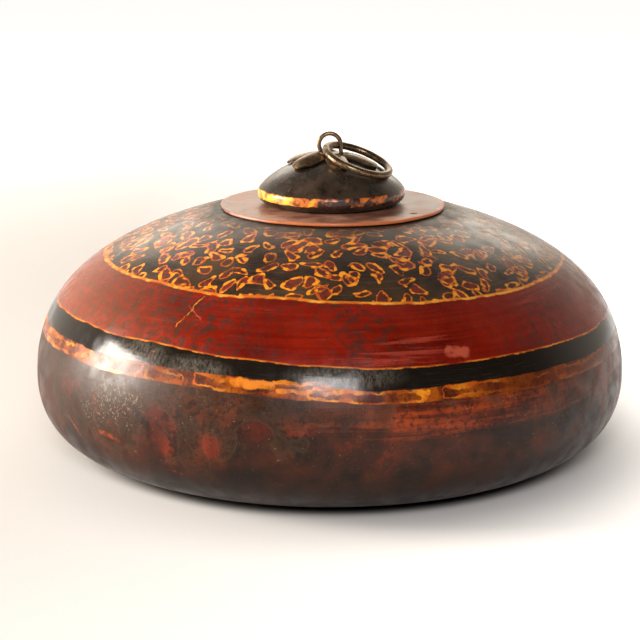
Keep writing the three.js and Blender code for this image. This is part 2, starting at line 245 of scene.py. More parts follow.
# %% Driving dimensions of the wood
BODY_RADIUS = 152.5 * MM
BELLY_HEIGHT = 41 * MM
FOOT_RADIUS = 97 * MM
FOOT_SWEEP = 34 * MM
BELLY_DROP = 28 * MM
BELLY_RISE = 48 * MM
CROWN_HEIGHT = 125 * MM
SEAT_RADIUS = 58.6 * MM
CROWN_SWEEP = 56 * MM
CROWN_SLOPE = 0.265
WALL = 9 * MM
FLOOR_THICKNESS = 11 * MM
CEILING = 9 * MM
SEAM_HEIGHT = 59.6 * MM
SEAM_GAP = 0.015 * MM  # a turned joint closes to a hair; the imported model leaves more
LIP_HEIGHT = 7 * MM
LIP_THICKNESS = 4.5 * MM
LIP_CLEARANCE = 0.4 * MM
LIP_EASING = 0.4 * MM  # rounding of the lip's upper edges


# %% Outline curves
def bezier(points, t):
    """The point at share t of a cubic curve with these four handles."""
    a, b, c, d = (Vector(p) for p in points)
    u = 1 - t
    return a * u ** 3 + b * (3 * u * u * t) + c * (3 * u * t * t) + d * t ** 3


def underside(belly, floor_height):
    """Handles of the curve from the foot to the belly, as (radius, height)."""
    sweep = FOOT_SWEEP * (belly - FOOT_RADIUS) / (BODY_RADIUS - FOOT_RADIUS)
    drop = BELLY_DROP * (BELLY_HEIGHT - floor_height) / BELLY_HEIGHT
    return [(FOOT_RADIUS, floor_height), (FOOT_RADIUS + sweep, floor_height),
            (belly, BELLY_HEIGHT - drop), (belly, BELLY_HEIGHT)]


def shoulder(belly, crown):
    """Handles of the curve from the belly to the seat of the collar."""
    sweep = CROWN_SWEEP * (belly - SEAT_RADIUS) / (BODY_RADIUS - SEAT_RADIUS)
    squeeze = (crown - BELLY_HEIGHT) / (CROWN_HEIGHT - BELLY_HEIGHT)
    return [(belly, BELLY_HEIGHT), (belly, BELLY_HEIGHT + BELLY_RISE * squeeze),
            (SEAT_RADIUS + sweep, crown - CROWN_SWEEP * CROWN_SLOPE * squeeze), (SEAT_RADIUS, crown)]


def parameter_at_height(points, height):
    """How far along a rising curve this height is reached, found by halving."""
    low, high = 0.0, 1.0
    for _ in range(40):
        middle = (low + high) / 2
        if bezier(points, middle).y < height:
            low = middle
        else:
            high = middle
    return (low + high) / 2


def stretch(points, start, end, count):
    """Points along a curve from share start to share end."""
    return [tuple(bezier(points, start + (end - start) * i / count)) for i in range(count + 1)]


OUTER_UNDERSIDE = underside(BODY_RADIUS, 0)
OUTER_SHOULDER = shoulder(BODY_RADIUS, CROWN_HEIGHT)
INNER_UNDERSIDE = underside(BODY_RADIUS - WALL, FLOOR_THICKNESS)
INNER_SHOULDER = shoulder(BODY_RADIUS - WALL, CROWN_HEIGHT - CEILING)
LIP_INNER = bezier(INNER_SHOULDER, parameter_at_height(INNER_SHOULDER, SEAM_HEIGHT)).x
LIP_OUTER = LIP_INNER + LIP_THICKNESS
LIP_TOP = SEAM_HEIGHT + LIP_HEIGHT
print("wall at the seam: %.1f mm" % ((bezier(OUTER_SHOULDER, parameter_at_height(
    OUTER_SHOULDER, SEAM_HEIGHT)).x - LIP_INNER) / MM))

# %% [markdown]
# ## Spinning an outline into a shell
# On a lathe one outline makes the whole shell, so here one tree of Geometry Nodes does the same:
# the profile is swept round a circle too small to see, and the rows that meet are welded. Rings
# of points could be written out in Python instead, but the tree keeps its sizes as named inputs.
# Each point also gets paint_map: its distance from the top of the axis along the outside, laid
# out flat round the middle. On the crown that is a map with almost no distortion, so hand-drawn
# loops keep their size, and its third number, the distance, follows the lathe's marks. The result
# is kept as a plain mesh. The same two helpers serve the iron wires later.

# %% Shaping trees
def shaping_tree(name, sizes):
    """An empty tree of Geometry Nodes with these named inputs. Returns it and its input sockets."""
    tree = bpy.data.node_groups.new(name, "GeometryNodeTree")
    tree.interface.new_socket("Line", in_out="INPUT", socket_type="NodeSocketGeometry")
    for size, kind in sizes.items():
        tree.interface.new_socket(size, in_out="INPUT", socket_type="NodeSocket" + kind)
    tree.interface.new_socket("Shape", in_out="OUTPUT", socket_type="NodeSocketGeometry")
    return tree, add(tree, "NodeGroupInput").outputs


def shaped(name, line, tree, sizes, sharp_from=50):
    """Runs the tree on a line of points and returns what it makes as a plain mesh."""
    holder = new_object(name + "_line", line)
    maker = holder.modifiers.new(name, "NODES")
    maker.node_group = tree
    for socket in tree.interface.items_tree:
        if socket.in_out == "INPUT" and socket.name in sizes:
            maker[socket.identifier] = sizes[socket.name]
    made = bpy.data.meshes.new_from_object(holder.evaluated_get(bpy.context.evaluated_depsgraph_get()))
    made.name = name
    bpy.data.objects.remove(holder)
    shape = bmesh.new()
    shape.from_mesh(made)
    bmesh.ops.recalc_face_normals(shape, faces=shape.faces)
    shape.to_mesh(made)
    shape.free()
    made.set_sharp_from_angle(angle=math.radians(sharp_from))
    return made


# %% The lathe
AXIS_RADIUS = 0.001 * MM
WELD = 0.005 * MM
lathe, sizes_in = shaping_tree("lathe", {"Sides": "Int", "Outside": "Material", "Inside": "Material"})
profile = add(lathe, "GeometryNodeMeshToCurve", sizes_in["Line"])
axle = add(lathe, "GeometryNodeCurvePrimitiveCircle",
           {"Resolution": sizes_in["Sides"], "Radius": AXIS_RADIUS})
spun = add(lathe, "GeometryNodeCurveToMesh", {"Curve": axle, "Profile Curve": profile})
place = add(lathe, "GeometryNodeInputPosition")
outwards = add(lathe, VECTOR_TIMES, place, (1, 1, 0))
outwards = add(lathe, "ShaderNodeVectorMath", outwards, operation="NORMALIZE")
outwards = add(lathe, VECTOR_PLUS, outwards, (0, 0, 1))
distance = add(lathe, "GeometryNodeInputNamedAttribute", {"Name": "distance"}, data_type="FLOAT")
laid_flat = add(lathe, "ShaderNodeVectorMath", outwards, distance, operation="SCALE")
mapped = add(lathe, "GeometryNodeStoreNamedAttribute",
             {"Geometry": spun, "Name": "paint_map", "Value": laid_flat}, data_type="FLOAT_VECTOR",
             domain="POINT")
welded = add(lathe, "GeometryNodeMergeByDistance", {"Geometry": mapped, "Distance": WELD})
smoothed = add(lathe, "GeometryNodeSetShadeSmooth", welded, {"Shade Smooth": True})
whole = add(lathe, "GeometryNodeRealizeInstances", smoothed)
painted = add(lathe, "GeometryNodeSetMaterial", whole, {"Material": sizes_in["Outside"]})
finish = add(lathe, "GeometryNodeInputNamedAttribute", {"Name": "finish"}, data_type="FLOAT")
hidden = add(lathe, "ShaderNodeMath", finish, 0.5, operation="GREATER_THAN")
painted = add(lathe, "GeometryNodeSetMaterial", painted,
              {"Selection": hidden, "Material": sizes_in["Inside"]})
add(lathe, "NodeGroupOutput", painted)


def turned(name, stretches, sides, outside, inside):
    """stretches: [(0 for outside or 1 for inside, [(radius, height), ...]), ...], end to end."""
    places, edges, finishes, distances = [], [], [], []
    distance, last = 0.0, Vector(stretches[0][1][0])
    for number, points in stretches:
        fresh = True
        for point in [last] + [Vector(p) for p in points]:
            if not fresh and (point - last).length < WELD:
                continue
            distance += (point - last).length
            if not fresh:
                edges.append((len(places) - 1, len(places)))
            places.append((point.x, -point.y, 0))
            finishes.append(number)
            distances.append(distance)
            last = point
            fresh = False
    line = bpy.data.meshes.new(name + "_profile")
    line.from_pydata(places, edges, [])
    for attribute, values in (("finish", finishes), ("distance", distances)):
        line.attributes.new(attribute, "FLOAT", "POINT").data.foreach_set("value", values)
    return shaped(name, line, lathe, {"Sides": sides, "Outside": outside, "Inside": inside})


print("the lathe has", len(lathe.nodes), "nodes")

# %% [markdown]
# ## Lac on the lid
# The lid was painted with lac, a resin that a lathe's friction melts onto the wood: black-brown
# on the crown with loops drawn over it, an orange line, a deep red band, a thinner orange line, a
# glossy black band and a ragged orange band. Each edge wanders, because the wood has warped and
# the stick was held by hand. A picture would do, but a tree of nodes stays sharp at any distance.
# Each band is a test of height against a limit that changes across the box and shivers with
# noise. The loops are cells of a Voronoi pattern: in each cell a ring is turned, squeezed to a
# leaf and drawn with a stroke of uneven width.

# %% Streaks of the lathe
def lathe_streaks(tree, place, distance, across, along):
    """Noise drawn out round the axis: across is its grain across the bands, along round the box."""
    axes = add(tree, "ShaderNodeSeparateXYZ", place)
    flat = add(tree, "ShaderNodeCombineXYZ", axes.outputs["X"], axes.outputs["Y"])
    round_box = add(tree, VECTOR_TIMES, flat, (1 / along,) * 3)
    over = add(tree, "ShaderNodeCombineXYZ", {"Z": add(tree, TIMES, distance, 1 / across)})
    return add(tree, VECTOR_PLUS, round_box, over)


def places_on(tree):
    """For a turned piece: the place, its three axes, the flat paint map and the lathe's distance."""
    where = add(tree, "ShaderNodeTexCoord").outputs["Object"]
    paint_map = add(tree, "ShaderNodeAttribute", attribute_name="paint_map").outputs["Vector"]
    distance = add(tree, "ShaderNodeSeparateXYZ", paint_map).outputs["Z"]
    return where, add(tree, "ShaderNodeSeparateXYZ", where), paint_map, distance


print("streaks and places ready")

# %% Drawn loops
def drawn_loops(tree, paint_map, cell, seed):
    """Leaf-shaped rings, one to a cell. Returns stroke, inside, the stroke's load of lac, chance."""
    in_cells = add(tree, VECTOR_TIMES, paint_map, (1 / cell, 1 / cell, 0))
    plane = add(tree, VECTOR_PLUS, in_cells, (seed, seed * 0.37, 0))
    shiver = add(tree, NOISE, plane, 0.9, 1.2, 0.55, noise_dimensions="2D").outputs["Color"]
    shiver = add(tree, VECTOR_TIMES, add(tree, VECTOR_PLUS, shiver, (-0.5,) * 3), (0.6, 0.6, 0))
    bent = add(tree, VECTOR_PLUS, plane, shiver)
    cells = add(tree, "ShaderNodeTexVoronoi", {"Vector": bent, "Scale": 1.0, "Randomness": 0.55},
                voronoi_dimensions="2D")
    chance = add(tree, "ShaderNodeSeparateColor", cells.outputs["Color"])
    from_middle = add(tree, "ShaderNodeVectorMath", bent, cells.outputs["Position"],
                      operation="SUBTRACT")
    turn = add(tree, TIMES, chance.outputs[0], 2 * math.pi)
    leaf = add(tree, "ShaderNodeVectorRotate", {"Vector": from_middle, "Angle": turn},
               rotation_type="Z_AXIS")
    axes = add(tree, "ShaderNodeSeparateXYZ", leaf)
    narrow = add(tree, "ShaderNodeMapRange", chance.outputs[1], 0, 1, 1.4, 2.5)
    taper = add(tree, TIMES_PLUS, axes.outputs["X"], 1.5, narrow)
    width = add(tree, TIMES, axes.outputs["Y"], taper)
    flat = add(tree, "ShaderNodeCombineXYZ", axes.outputs["X"], width)
    distance = add(tree, LENGTH, flat)
    radius = add(tree, "ShaderNodeMapRange", chance.outputs[2], 0, 1, 0.34, 0.45)
    past_line = add(tree, MINUS, distance, radius)
    # Squeezing a ring would thin its line on the flanks, so the distance is divided by the squeeze
    flank = add(tree, DIVIDED, add(tree, ABSOLUTE, width), add(tree, PLUS, distance, 0.001))
    steepness = add(tree, TIMES_PLUS, flank, add(tree, MINUS, taper, 1), 1)
    true_distance = add(tree, DIVIDED, past_line, add(tree, MAXIMUM, steepness, 0.6))
    load = add(tree, NOISE, plane, 2.6, 1.0, 0.55, noise_dimensions="2D")
    thick = add(tree, FADE, load, 0.4, 0.7, 0.03, 0.085)
    off_line = add(tree, MINUS, add(tree, ABSOLUTE, true_distance), thick)
    stroke = add(tree, FADE, off_line, 0.018, -0.018)
    inside = add(tree, FADE, true_distance, 0.03, -0.03)
    return stroke, inside, load, chance.outputs[2]


print("loops ready")

# %% [markdown]
# ## Marks that only the front has
# The front carries marks of its own: strokes of the yellow stick, a few scratches, patches where
# a film has come off or dust has settled, and patches of painted sheen on the black band, where
# the lights' reflections spread over fine scratches. Random noise can't place them, so each is a
# short line or an oval at a measured place, in millimetres, and noise only shakes and wears its
# edge. They fade out towards the sides, so that the back doesn't repeat them.

# %% Marks on the front
# Ovals: x, height, half width, half height
BARE_PATCHES = (  # where the film is gone
    (-78, 44, 9, 12), (-56, 40, 5, 6), (-36, 48, 9, 6), (-16, 50, 9, 5), (-96, 49, 3, 3),
)
DUSTED = ((-100, 53, 13, 11), (-112, 44, 8, 6))  # pale specks of dust have settled here
SHEEN_ON_SCRATCHES = ((-88, 74, 12, 7), (-62, 72, 14, 5), (6, 72, 22, 5))  # fine scratches shown as a painted sheen of the lights' reflections
SCUFFED = ((44, 84, 20, 5), (20, 80, 24, 3), (100, 96, 14, 6))  # the red is rubbed lighter
# Lines: start and end as (x, height), then half width
YELLOW_MARKS = (  # strokes of the yellow stick
    ((-123, 67), (-115, 69), 1.1), ((-85.6, 69.4), (-86, 66), 0.8), ((-72.5, 89), (-59, 101), 0.2),
    ((-44, 69.2), (-27, 68.2), 1.7), ((-26, 69.8), (0, 69.4), 0.8), ((-24, 66.4), (4, 65.8), 0.8),
)
PALE_MARKS = (  # scratches and a chip
    ((-81.7, 78), (-91.3, 66), 0.35), ((54, 80.8), (62, 79.4), 2.0), ((-66, 97), (-60, 92), 0.3),
)
RUST_MARKS = (  # knocks down to the rust-red ground
    ((-127, 37), (-118, 26), 0.5), ((-110, 35), (-100, 33.5), 1.1), ((-76, 24), (-68, 22.5), 0.4),
    ((-113, 52), (-111, 45), 0.5), ((8, 15), (16, 15.5), 0.3),
)


def near_patches(tree, where, patches):
    """1 in the middle of each oval on the front, fading to 0 at one and a half times its size."""
    axes = add(tree, "ShaderNodeSeparateXYZ", where)
    facing = add(tree, FADE, axes.outputs["Y"], 0.0, -40 * MM)
    total = 0.0
    for x, height, half_width, half_height in patches:
        off = add(tree, VECTOR_PLUS, where, (-x * MM, 0, -height * MM))
        off = add(tree, VECTOR_TIMES, off, (1 / (half_width * MM), 0, 1 / (half_height * MM)))
        far = add(tree, LENGTH, off)
        here = add(tree, FADE, far, 1.5, 0.5)
        total = add(tree, MAXIMUM, total, here)
    return add(tree, TIMES, total, facing)


def near_lines(tree, where, lines):
    """1 on each short straight mark on the front, 0 beside it."""
    axes = add(tree, "ShaderNodeSeparateXYZ", where)
    shake = add(tree, NOISE, where, 170, 3, 0.55).outputs["Color"]  # 5.9 mm
    shake = add(tree, VECTOR_PLUS, shake, (-0.5,) * 3)
    shaken = add(tree, VECTOR_PLUS, where, add(tree, VECTOR_TIMES, shake, (4 * MM,) * 3))
    seen = add(tree, VECTOR_TIMES, shaken, (1, 0, 1))
    total = 0.0
    for (start_x, start_z), (end_x, end_z), half_width in lines:
        start = Vector((start_x, 0, start_z)) * MM
        run = Vector((end_x - start_x, 0, end_z - start_z)) * MM
        off = add(tree, VECTOR_PLUS, seen, -start)
        share = add(tree, "ShaderNodeVectorMath", off, run / run.length_squared,
                    operation="DOT_PRODUCT")
        share = add(tree, TIMES, share, 1.0, use_clamp=True)
        nearest = add(tree, "ShaderNodeVectorMath", run, share, operation="SCALE")
        far = add(tree, "ShaderNodeVectorMath", off, nearest, operation="DISTANCE")
        here = add(tree, FADE, far, 1.3 * half_width * MM, 0.7 * half_width * MM)
        total = add(tree, MAXIMUM, total, here)
    worn = add(tree, FADE, add(tree, NOISE, where, 90, 4, 0.65), 0.36, 0.56)
    facing = add(tree, FADE, axes.outputs["Y"], 0.0, -20 * MM)
    return add(tree, TIMES, add(tree, TIMES, total, worn), facing)


print("marks:", len(YELLOW_MARKS + PALE_MARKS + RUST_MARKS), "lines and",
      len(BARE_PATCHES + DUSTED + SHEEN_ON_SCRATCHES + SCUFFED), "ovals")

# %% [markdown]
# ## Worn lac
# The lower half of the box, with the foot of the lid, was lacquered dark brown and has been handled,
# spilled on and wiped for a long time. From below upwards it is a stack of layers, and so is this
# tree: brown, the red ground where it is bare, a stain under the orange band, a dull film whose
# hem has run down in drips, then specks, knocks and dust. One function serves both pieces, so the
# layers run on across the seam.

# %% Worn lac
def worn_lac(tree, where, streaks):
    """Dark brown lac, with a dull film that has run down and a red ground where both are gone."""
    axes = add(tree, "ShaderNodeSeparateXYZ", where)
    blotch = add(tree, NOISE, where, 52, 6, 0.62)  # 19 mm
    runs = add(tree, NOISE, add(tree, VECTOR_TIMES, where, (1, 1, 0.2)), 62, 1.5, 0.5)
    rings = add(tree, NOISE, streaks, 0.9, 5, 0.62)
    grain = add(tree, NOISE, where, 420, 5, 0.75)  # 2.4 mm
    rightwards = add(tree, FADE, axes.outputs["X"], -35 * MM, 40 * MM)
    patches = near_patches(tree, where, BARE_PATCHES)

    brown = add(tree, MIX, add(tree, FADE, blotch, 0.36, 0.62), colour("#1a0a03"), colour("#3a1907"))
    hem = add(tree, TIMES_PLUS, runs, 80 * MM, -40 * MM)
    hem = add(tree, TIMES_PLUS, patches, -14 * MM, hem)
    hem = add(tree, TIMES_PLUS, rightwards, -30 * MM, hem)
    over_hem = add(tree, PLUS, axes.outputs["Z"], hem)
    over_hem = add(tree, PLUS, over_hem, add(tree, TIMES_PLUS, blotch, 26 * MM, -13 * MM))
    film = add(tree, FADE, over_hem, 27 * MM, 40 * MM)
    drip_edge = add(tree, TIMES, add(tree, FADE, over_hem, 31 * MM, 34 * MM),
                    add(tree, FADE, over_hem, 37 * MM, 34 * MM, 0, 0.15))

    red_zone = add(tree, TIMES, add(tree, FADE, axes.outputs["Z"], 20 * MM, 36 * MM),
                   add(tree, FADE, axes.outputs["X"], 40 * MM, -30 * MM, 0.3, 1))
    redness = add(tree, TIMES_PLUS, patches, 0.13, blotch)
    redness = add(tree, PLUS, redness, add(tree, TIMES_PLUS, grain, 0.75, -0.375))
    bare = add(tree, TIMES, add(tree, FADE, redness, 0.54, 0.66, 0, 0.9), red_zone)
    red_ground = add(tree, MIX, add(tree, FADE, runs, 0.4, 0.6), colour("#481404"), colour("#7c2606"))
    brown = add(tree, MIX, bare, brown, red_ground)
    under_band = add(tree, TIMES_PLUS, rings, 20 * MM, axes.outputs["Z"])
    stained = add(tree, FADE, under_band, 53 * MM, 63 * MM, 0, 0.85)
    stained = add(tree, TIMES, stained, add(tree, FADE, axes.outputs["X"], -20 * MM, 10 * MM))
    stained = add(tree, TIMES, stained, add(tree, FADE, axes.outputs["X"], 110 * MM, 60 * MM, 0.35, 1))
    stained = add(tree, TIMES, stained, add(tree, FADE, grain, 0.62, 0.45, 0.3, 1))
    mixed = add(tree, TIMES_PLUS, blotch, 0.5, add(tree, TIMES, rings, 0.5))
    streaked = add(tree, MIX, add(tree, FADE, mixed, 0.4, 0.6), colour("#4a1604"), colour("#983a0b"))
    brown = add(tree, MIX, stained, brown, streaked)

    film_colour = add(tree, MIX, add(tree, FADE, grain, 0.35, 0.62), colour("#1e1008"),
                      colour("#3b2310"))
    brown = add(tree, MIX, add(tree, TIMES, film, 0.75), brown, film_colour)
    brown = add(tree, MIX, drip_edge, brown, colour("#5c4630"))
    brown = add(tree, MIX, add(tree, FADE, grain, 0.54, 0.68, 0, 0.65), brown, colour("#160c07"))
    rust = add(tree, TIMES, near_lines(tree, where, RUST_MARKS),
               add(tree, FADE, grain, 0.56, 0.44, 0.1, 0.75))
    brown = add(tree, MIX, rust, brown, colour("#86380e"))
    pale = add(tree, NOISE, where, 650, 3, 0.8)  # 1.5 mm
    pale = add(tree, TIMES_PLUS, near_patches(tree, where, DUSTED), 0.1, pale)
    brown = add(tree, MIX, add(tree, FADE, pale, 0.64, 0.74, 0, 0.5), brown, colour("#8f7a5a"))
    # Painted shade: the lac darkens from the belly's widest line down to the foot, where it faces the floor
    painted_shade_under_belly = add(tree, FADE, axes.outputs["Z"], 40 * MM, 6 * MM, 0, 0.75)
    brown = add(tree, MIX, painted_shade_under_belly, brown, colour("#120903"))
    spots = add(tree, NOISE, add(tree, VECTOR_TIMES, where, (1, 1, 2.6)), 34, 2, 0.55)
    low = add(tree, FADE, axes.outputs["Z"], 16 * MM, 9 * MM)
    spotted = add(tree, TIMES, add(tree, FADE, spots, 0.63, 0.69, 0, 0.8), low)
    return add(tree, MIX, spotted, brown, colour("#120a06"))


print("worn lac ready")

# %% Lid paint
LID_EDGES = {  # height at the left and right of the box, and over what x it changes, in millimetres
    "crown": (103.0, 99.9, -120, 120),
    "red": (80.6, 75.2, -110, 60),
    "black": (71.6, 66.4, -60, 40),
    "orange": (65.0, 59.7, -85, 75),
}

LAC_IOR = 1.5  # a resin bends light about as much as glass does, and so do wood and hide
LAC_SHINE = 0.22  # old lac mirrors less than fresh lac, whose value would be 0.5

# Lac melted on by friction: deep, even colour under a clear and glossy skin
lid_paint, tree = material("lac_on_turned_wood_lid")
where, axes, paint_map, distance = places_on(tree)
streaks = lathe_streaks(tree, where, distance, across=1.6 * MM, along=45 * MM)
fine_streaks = lathe_streaks(tree, where, distance, across=0.5 * MM, along=14 * MM)

ragged = add(tree, NOISE, where, 130, 4, 0.55)  # 7.7 mm
wander = add(tree, NOISE, where, 22, 1, 0.55)  # 45 mm
shiver = add(tree, TIMES_PLUS, ragged, 1.5 * MM, -0.75 * MM)
drift = add(tree, TIMES_PLUS, wander, 3.0 * MM, -1.5 * MM)
height = add(tree, PLUS, axes.outputs["Z"], add(tree, PLUS, shiver, drift))


def edge_height(name):
    left, right, start, end = LID_EDGES[name]
    return add(tree, FADE, axes.outputs["X"], start * MM, end * MM, left * MM, right * MM)


def below(name, drop=0.0, softness=0.25):
    """1 under a band's edge, lowered by drop, and 0 above it."""
    limit = add(tree, MINUS, edge_height(name), drop * MM)
    over = add(tree, MINUS, height, limit)
    return add(tree, FADE, over, softness * MM, -softness * MM)


print("edges:", LID_EDGES)

# %% [markdown]
# ## Painting the lid from the top down
# The crown comes first: a stained black-brown ground, two layers of loops, the dirt that hands
# left round the collar, and dirt with painted shade at the collar's edge. Then each band gets its
# own colours and its own wear: the red is specked, with a painted sheen at the left, the black has
# fine scratches shown as a painted sheen, and the orange is a ragged row of long loops. Last, the
# bands are laid over each other from the top down.

# %% Crown of the lid
ground_stain = add(tree, NOISE, where, 38, 5, 0.55)  # 26 mm
ground = add(tree, MIX, add(tree, FADE, ground_stain, 0.35, 0.65), colour("#20140d"), colour("#43301f"))
rubbed = add(tree, NOISE, streaks, 1.0, 4, 0.55)
ground = add(tree, MIX, add(tree, FADE, rubbed, 0.5, 0.8, 0, 0.5), ground, colour("#584534"))
aside = add(tree, "ShaderNodeVectorMath", where, (0.95, 0.3, 0), operation="DOT_PRODUCT")
faded = add(tree, FADE, aside, 10 * MM, 110 * MM, 1.0, 0.5)
crown = ground
for cell, seed, share in ((10.8 * MM, 3.1, 1.0), (13.0 * MM, 11.7, -0.2)):
    stroke, inside, load, chance = drawn_loops(tree, paint_map, cell, seed)
    wear = add(tree, FADE, add(tree, NOISE, where, 55 + seed, 5, 0.55), 0.28, 0.46)
    shown = add(tree, FADE, chance, 0.42 - share, 0.46 - share)
    shown = add(tree, TIMES, shown, add(tree, TIMES, wear, faded))
    leaf_red = add(tree, MIX, chance, colour("#45160e"), colour("#7a2a1c"))
    filled = add(tree, FADE, add(tree, NOISE, where, 300 + seed, 3, 0.55), 0.4, 0.6, 0.25, 0.85)
    filled = add(tree, TIMES, inside, add(tree, TIMES, shown, filled))
    crown = add(tree, MIX, filled, crown, leaf_red)
    lac = add(tree, MIX, add(tree, FADE, load, 0.44, 0.66), colour("#ad4f17"), colour("#dd8a1c"))
    crown = add(tree, MIX, add(tree, TIMES, stroke, shown), crown, lac)

# Hands have rubbed the ring next to the collar bare, and dirt has settled there. The dark ring
# right at the collar's edge is dirt and painted shade under the hide's edge
GRIME_REACH = (60 * MM, 76 * MM)
away = add(tree, LENGTH, add(tree, VECTOR_TIMES, where, (1, 1, 0)))
patchy = add(tree, TIMES_PLUS, add(tree, NOISE, where, 70, 4, 0.55), 14 * MM, away)
grime = add(tree, FADE, add(tree, MINUS, patchy, 7 * MM), GRIME_REACH[1], GRIME_REACH[0])
crown = add(tree, MIX, add(tree, TIMES, grime, 0.88), crown, colour("#3e332a"))
# Dirt and painted shade: a near-black ring where the hide's edge overhangs the crown
dirt_and_shade_at_collar = add(tree, FADE, away, 61.5 * MM, 59.3 * MM)
crown = add(tree, MIX, dirt_and_shade_at_collar, crown, colour("#0e0906"))
print("grime reaches %.0f mm from the axis" % (GRIME_REACH[1] / MM))

# %% Red band
red_cloud = add(tree, NOISE, where, 26, 6, 0.6)  # 38 mm
red_rings = add(tree, NOISE, streaks, 0.8, 5, 0.6)
red_cloud = add(tree, TIMES_PLUS, red_rings, 0.35, add(tree, TIMES, red_cloud, 0.65))
red = add(tree, MIX, add(tree, FADE, red_cloud, 0.3, 0.7), colour("#4c0903"), colour("#851b08"))
speck = add(tree, NOISE, where, 260, 6, 0.75)  # 3.8 mm
dirt_patch = add(tree, NOISE, where, 17, 3, 0.55)  # 59 mm
dirt_patch = add(tree, PLUS, dirt_patch, add(tree, FADE, axes.outputs["X"], -10 * MM, -80 * MM, 0, 0.3))
speckled = add(tree, TIMES, add(tree, FADE, speck, 0.46, 0.58), add(tree, FADE, dirt_patch, 0.42, 0.7))
red = add(tree, MIX, add(tree, TIMES, speckled, 0.85), red, colour("#32231c"))
# Painted sheen: the red turns pale towards the left, where the lit wall's highlight spreads over it
painted_sheen_at_left = add(tree, FADE, axes.outputs["X"], -50 * MM, -135 * MM, 0, 0.24)
red = add(tree, MIX, painted_sheen_at_left, red, colour("#ac6c4c"))
scuff = add(tree, NOISE, streaks, 0.9, 6, 0.7, {"Distortion": 0.6})
scuff = add(tree, TIMES_PLUS, near_patches(tree, where, SCUFFED), 0.14, scuff)
red = add(tree, MIX, add(tree, FADE, scuff, 0.6, 0.76, 0, 0.55), red, colour("#a5402f"))
rightwards = add(tree, FADE, axes.outputs["X"], 45 * MM, 95 * MM)
red = add(tree, MIX, add(tree, TIMES, rightwards, 0.35), red, colour("#4a120a"))
print("the lid's tree has", len(tree.nodes), "nodes so far")

# %% Black band
black_rub = add(tree, NOISE, fine_streaks, 0.7, 6, 0.75)
black = add(tree, MIX, add(tree, FADE, black_rub, 0.52, 0.78, 0, 0.45), colour("#16110d"),
            colour("#3d342b"))
upright = add(tree, VECTOR_TIMES, where, (1.0, 1.0, 0.3))
crossed = add(tree, NOISE, upright, 700, 6, 0.8, {"Distortion": 0.3})  # scratches of 1.4 mm
# Painted sheen: in these ovals the black turns pale grey with crossed scratches, standing in for the
# lights' spread reflections
painted_sheen_on_scratches = add(tree, TIMES, near_patches(tree, where, SHEEN_ON_SCRATCHES), add(tree, FADE, crossed, 0.35, 0.65))
black = add(tree, MIX, add(tree, TIMES, painted_sheen_on_scratches, 0.6), black, colour("#6b6358"))
print("the lid's tree has", len(tree.nodes), "nodes so far")

# %% Orange band
LOOP_LENGTH = 62 * MM
LOOP_HALF_LENGTH = 24 * MM
LOOP_HALF_HEIGHT = 2.4 * MM
bearing = add(tree, "ShaderNodeMath", axes.outputs["Y"], axes.outputs["X"], operation="ARCTAN2")
along = add(tree, TIMES, bearing, BODY_RADIUS)
bent = add(tree, TIMES_PLUS, add(tree, NOISE, where, 30, 4, 0.55), 70 * MM, -35 * MM)
along = add(tree, "ShaderNodeMath", add(tree, PLUS, along, bent), LOOP_LENGTH, 0.0, operation="WRAP")
from_loop_middle = add(tree, ABSOLUTE, add(tree, MINUS, along, LOOP_LENGTH / 2))
past_straight = add(tree, MAXIMUM, add(tree, MINUS, from_loop_middle, LOOP_HALF_LENGTH), 0.0)
band_middle = add(tree, "ShaderNodeMix", 0.5, edge_height("black"), edge_height("orange"))
shake = add(tree, TIMES_PLUS, add(tree, NOISE, where, 65, 3, 0.55), 5 * MM, -2.5 * MM)
off_middle = add(tree, PLUS, add(tree, MINUS, height, band_middle), shake)
offset = add(tree, "ShaderNodeCombineXYZ", past_straight, off_middle)
from_core = add(tree, LENGTH, offset)
orange_cloud = add(tree, NOISE, where, 75, 5, 0.65)  # 13 mm
stroke_width = add(tree, FADE, orange_cloud, 0.35, 0.65, 0.25 * MM, 1.5 * MM)
off_line = add(tree, ABSOLUTE, add(tree, MINUS, from_core, LOOP_HALF_HEIGHT))
off_stroke = add(tree, MINUS, off_line, stroke_width)
loop_line = add(tree, FADE, off_stroke, 0.3 * MM, -0.3 * MM)
loop_wear = add(tree, NOISE, where, 40, 5, 0.6)  # 25 mm
loop_line = add(tree, TIMES, loop_line, add(tree, FADE, loop_wear, 0.4, 0.56, 0.15, 1))
orange = add(tree, MIX, add(tree, FADE, orange_cloud, 0.36, 0.62), colour("#40160a"), colour("#8a420c"))
stroke_colour = add(tree, MIX, add(tree, FADE, ragged, 0.42, 0.6), colour("#a94c0e"), colour("#cf8019"))
orange = add(tree, MIX, loop_line, orange, stroke_colour)
dulled = add(tree, TIMES, add(tree, FADE, axes.outputs["X"], -104 * MM, -96 * MM),
             add(tree, FADE, axes.outputs["X"], -60 * MM, -76 * MM, 0, 0.7))
orange = add(tree, MIX, dulled, orange, colour("#5c2c15"))
orange = add(tree, MIX, add(tree, FADE, speck, 0.5, 0.62, 0, 0.6), orange, colour("#3a1508"))
orange = add(tree, MIX, add(tree, TIMES, rightwards, 0.75), orange, colour("#4a1c0a"))
print("the lid's tree has", len(tree.nodes), "nodes so far")

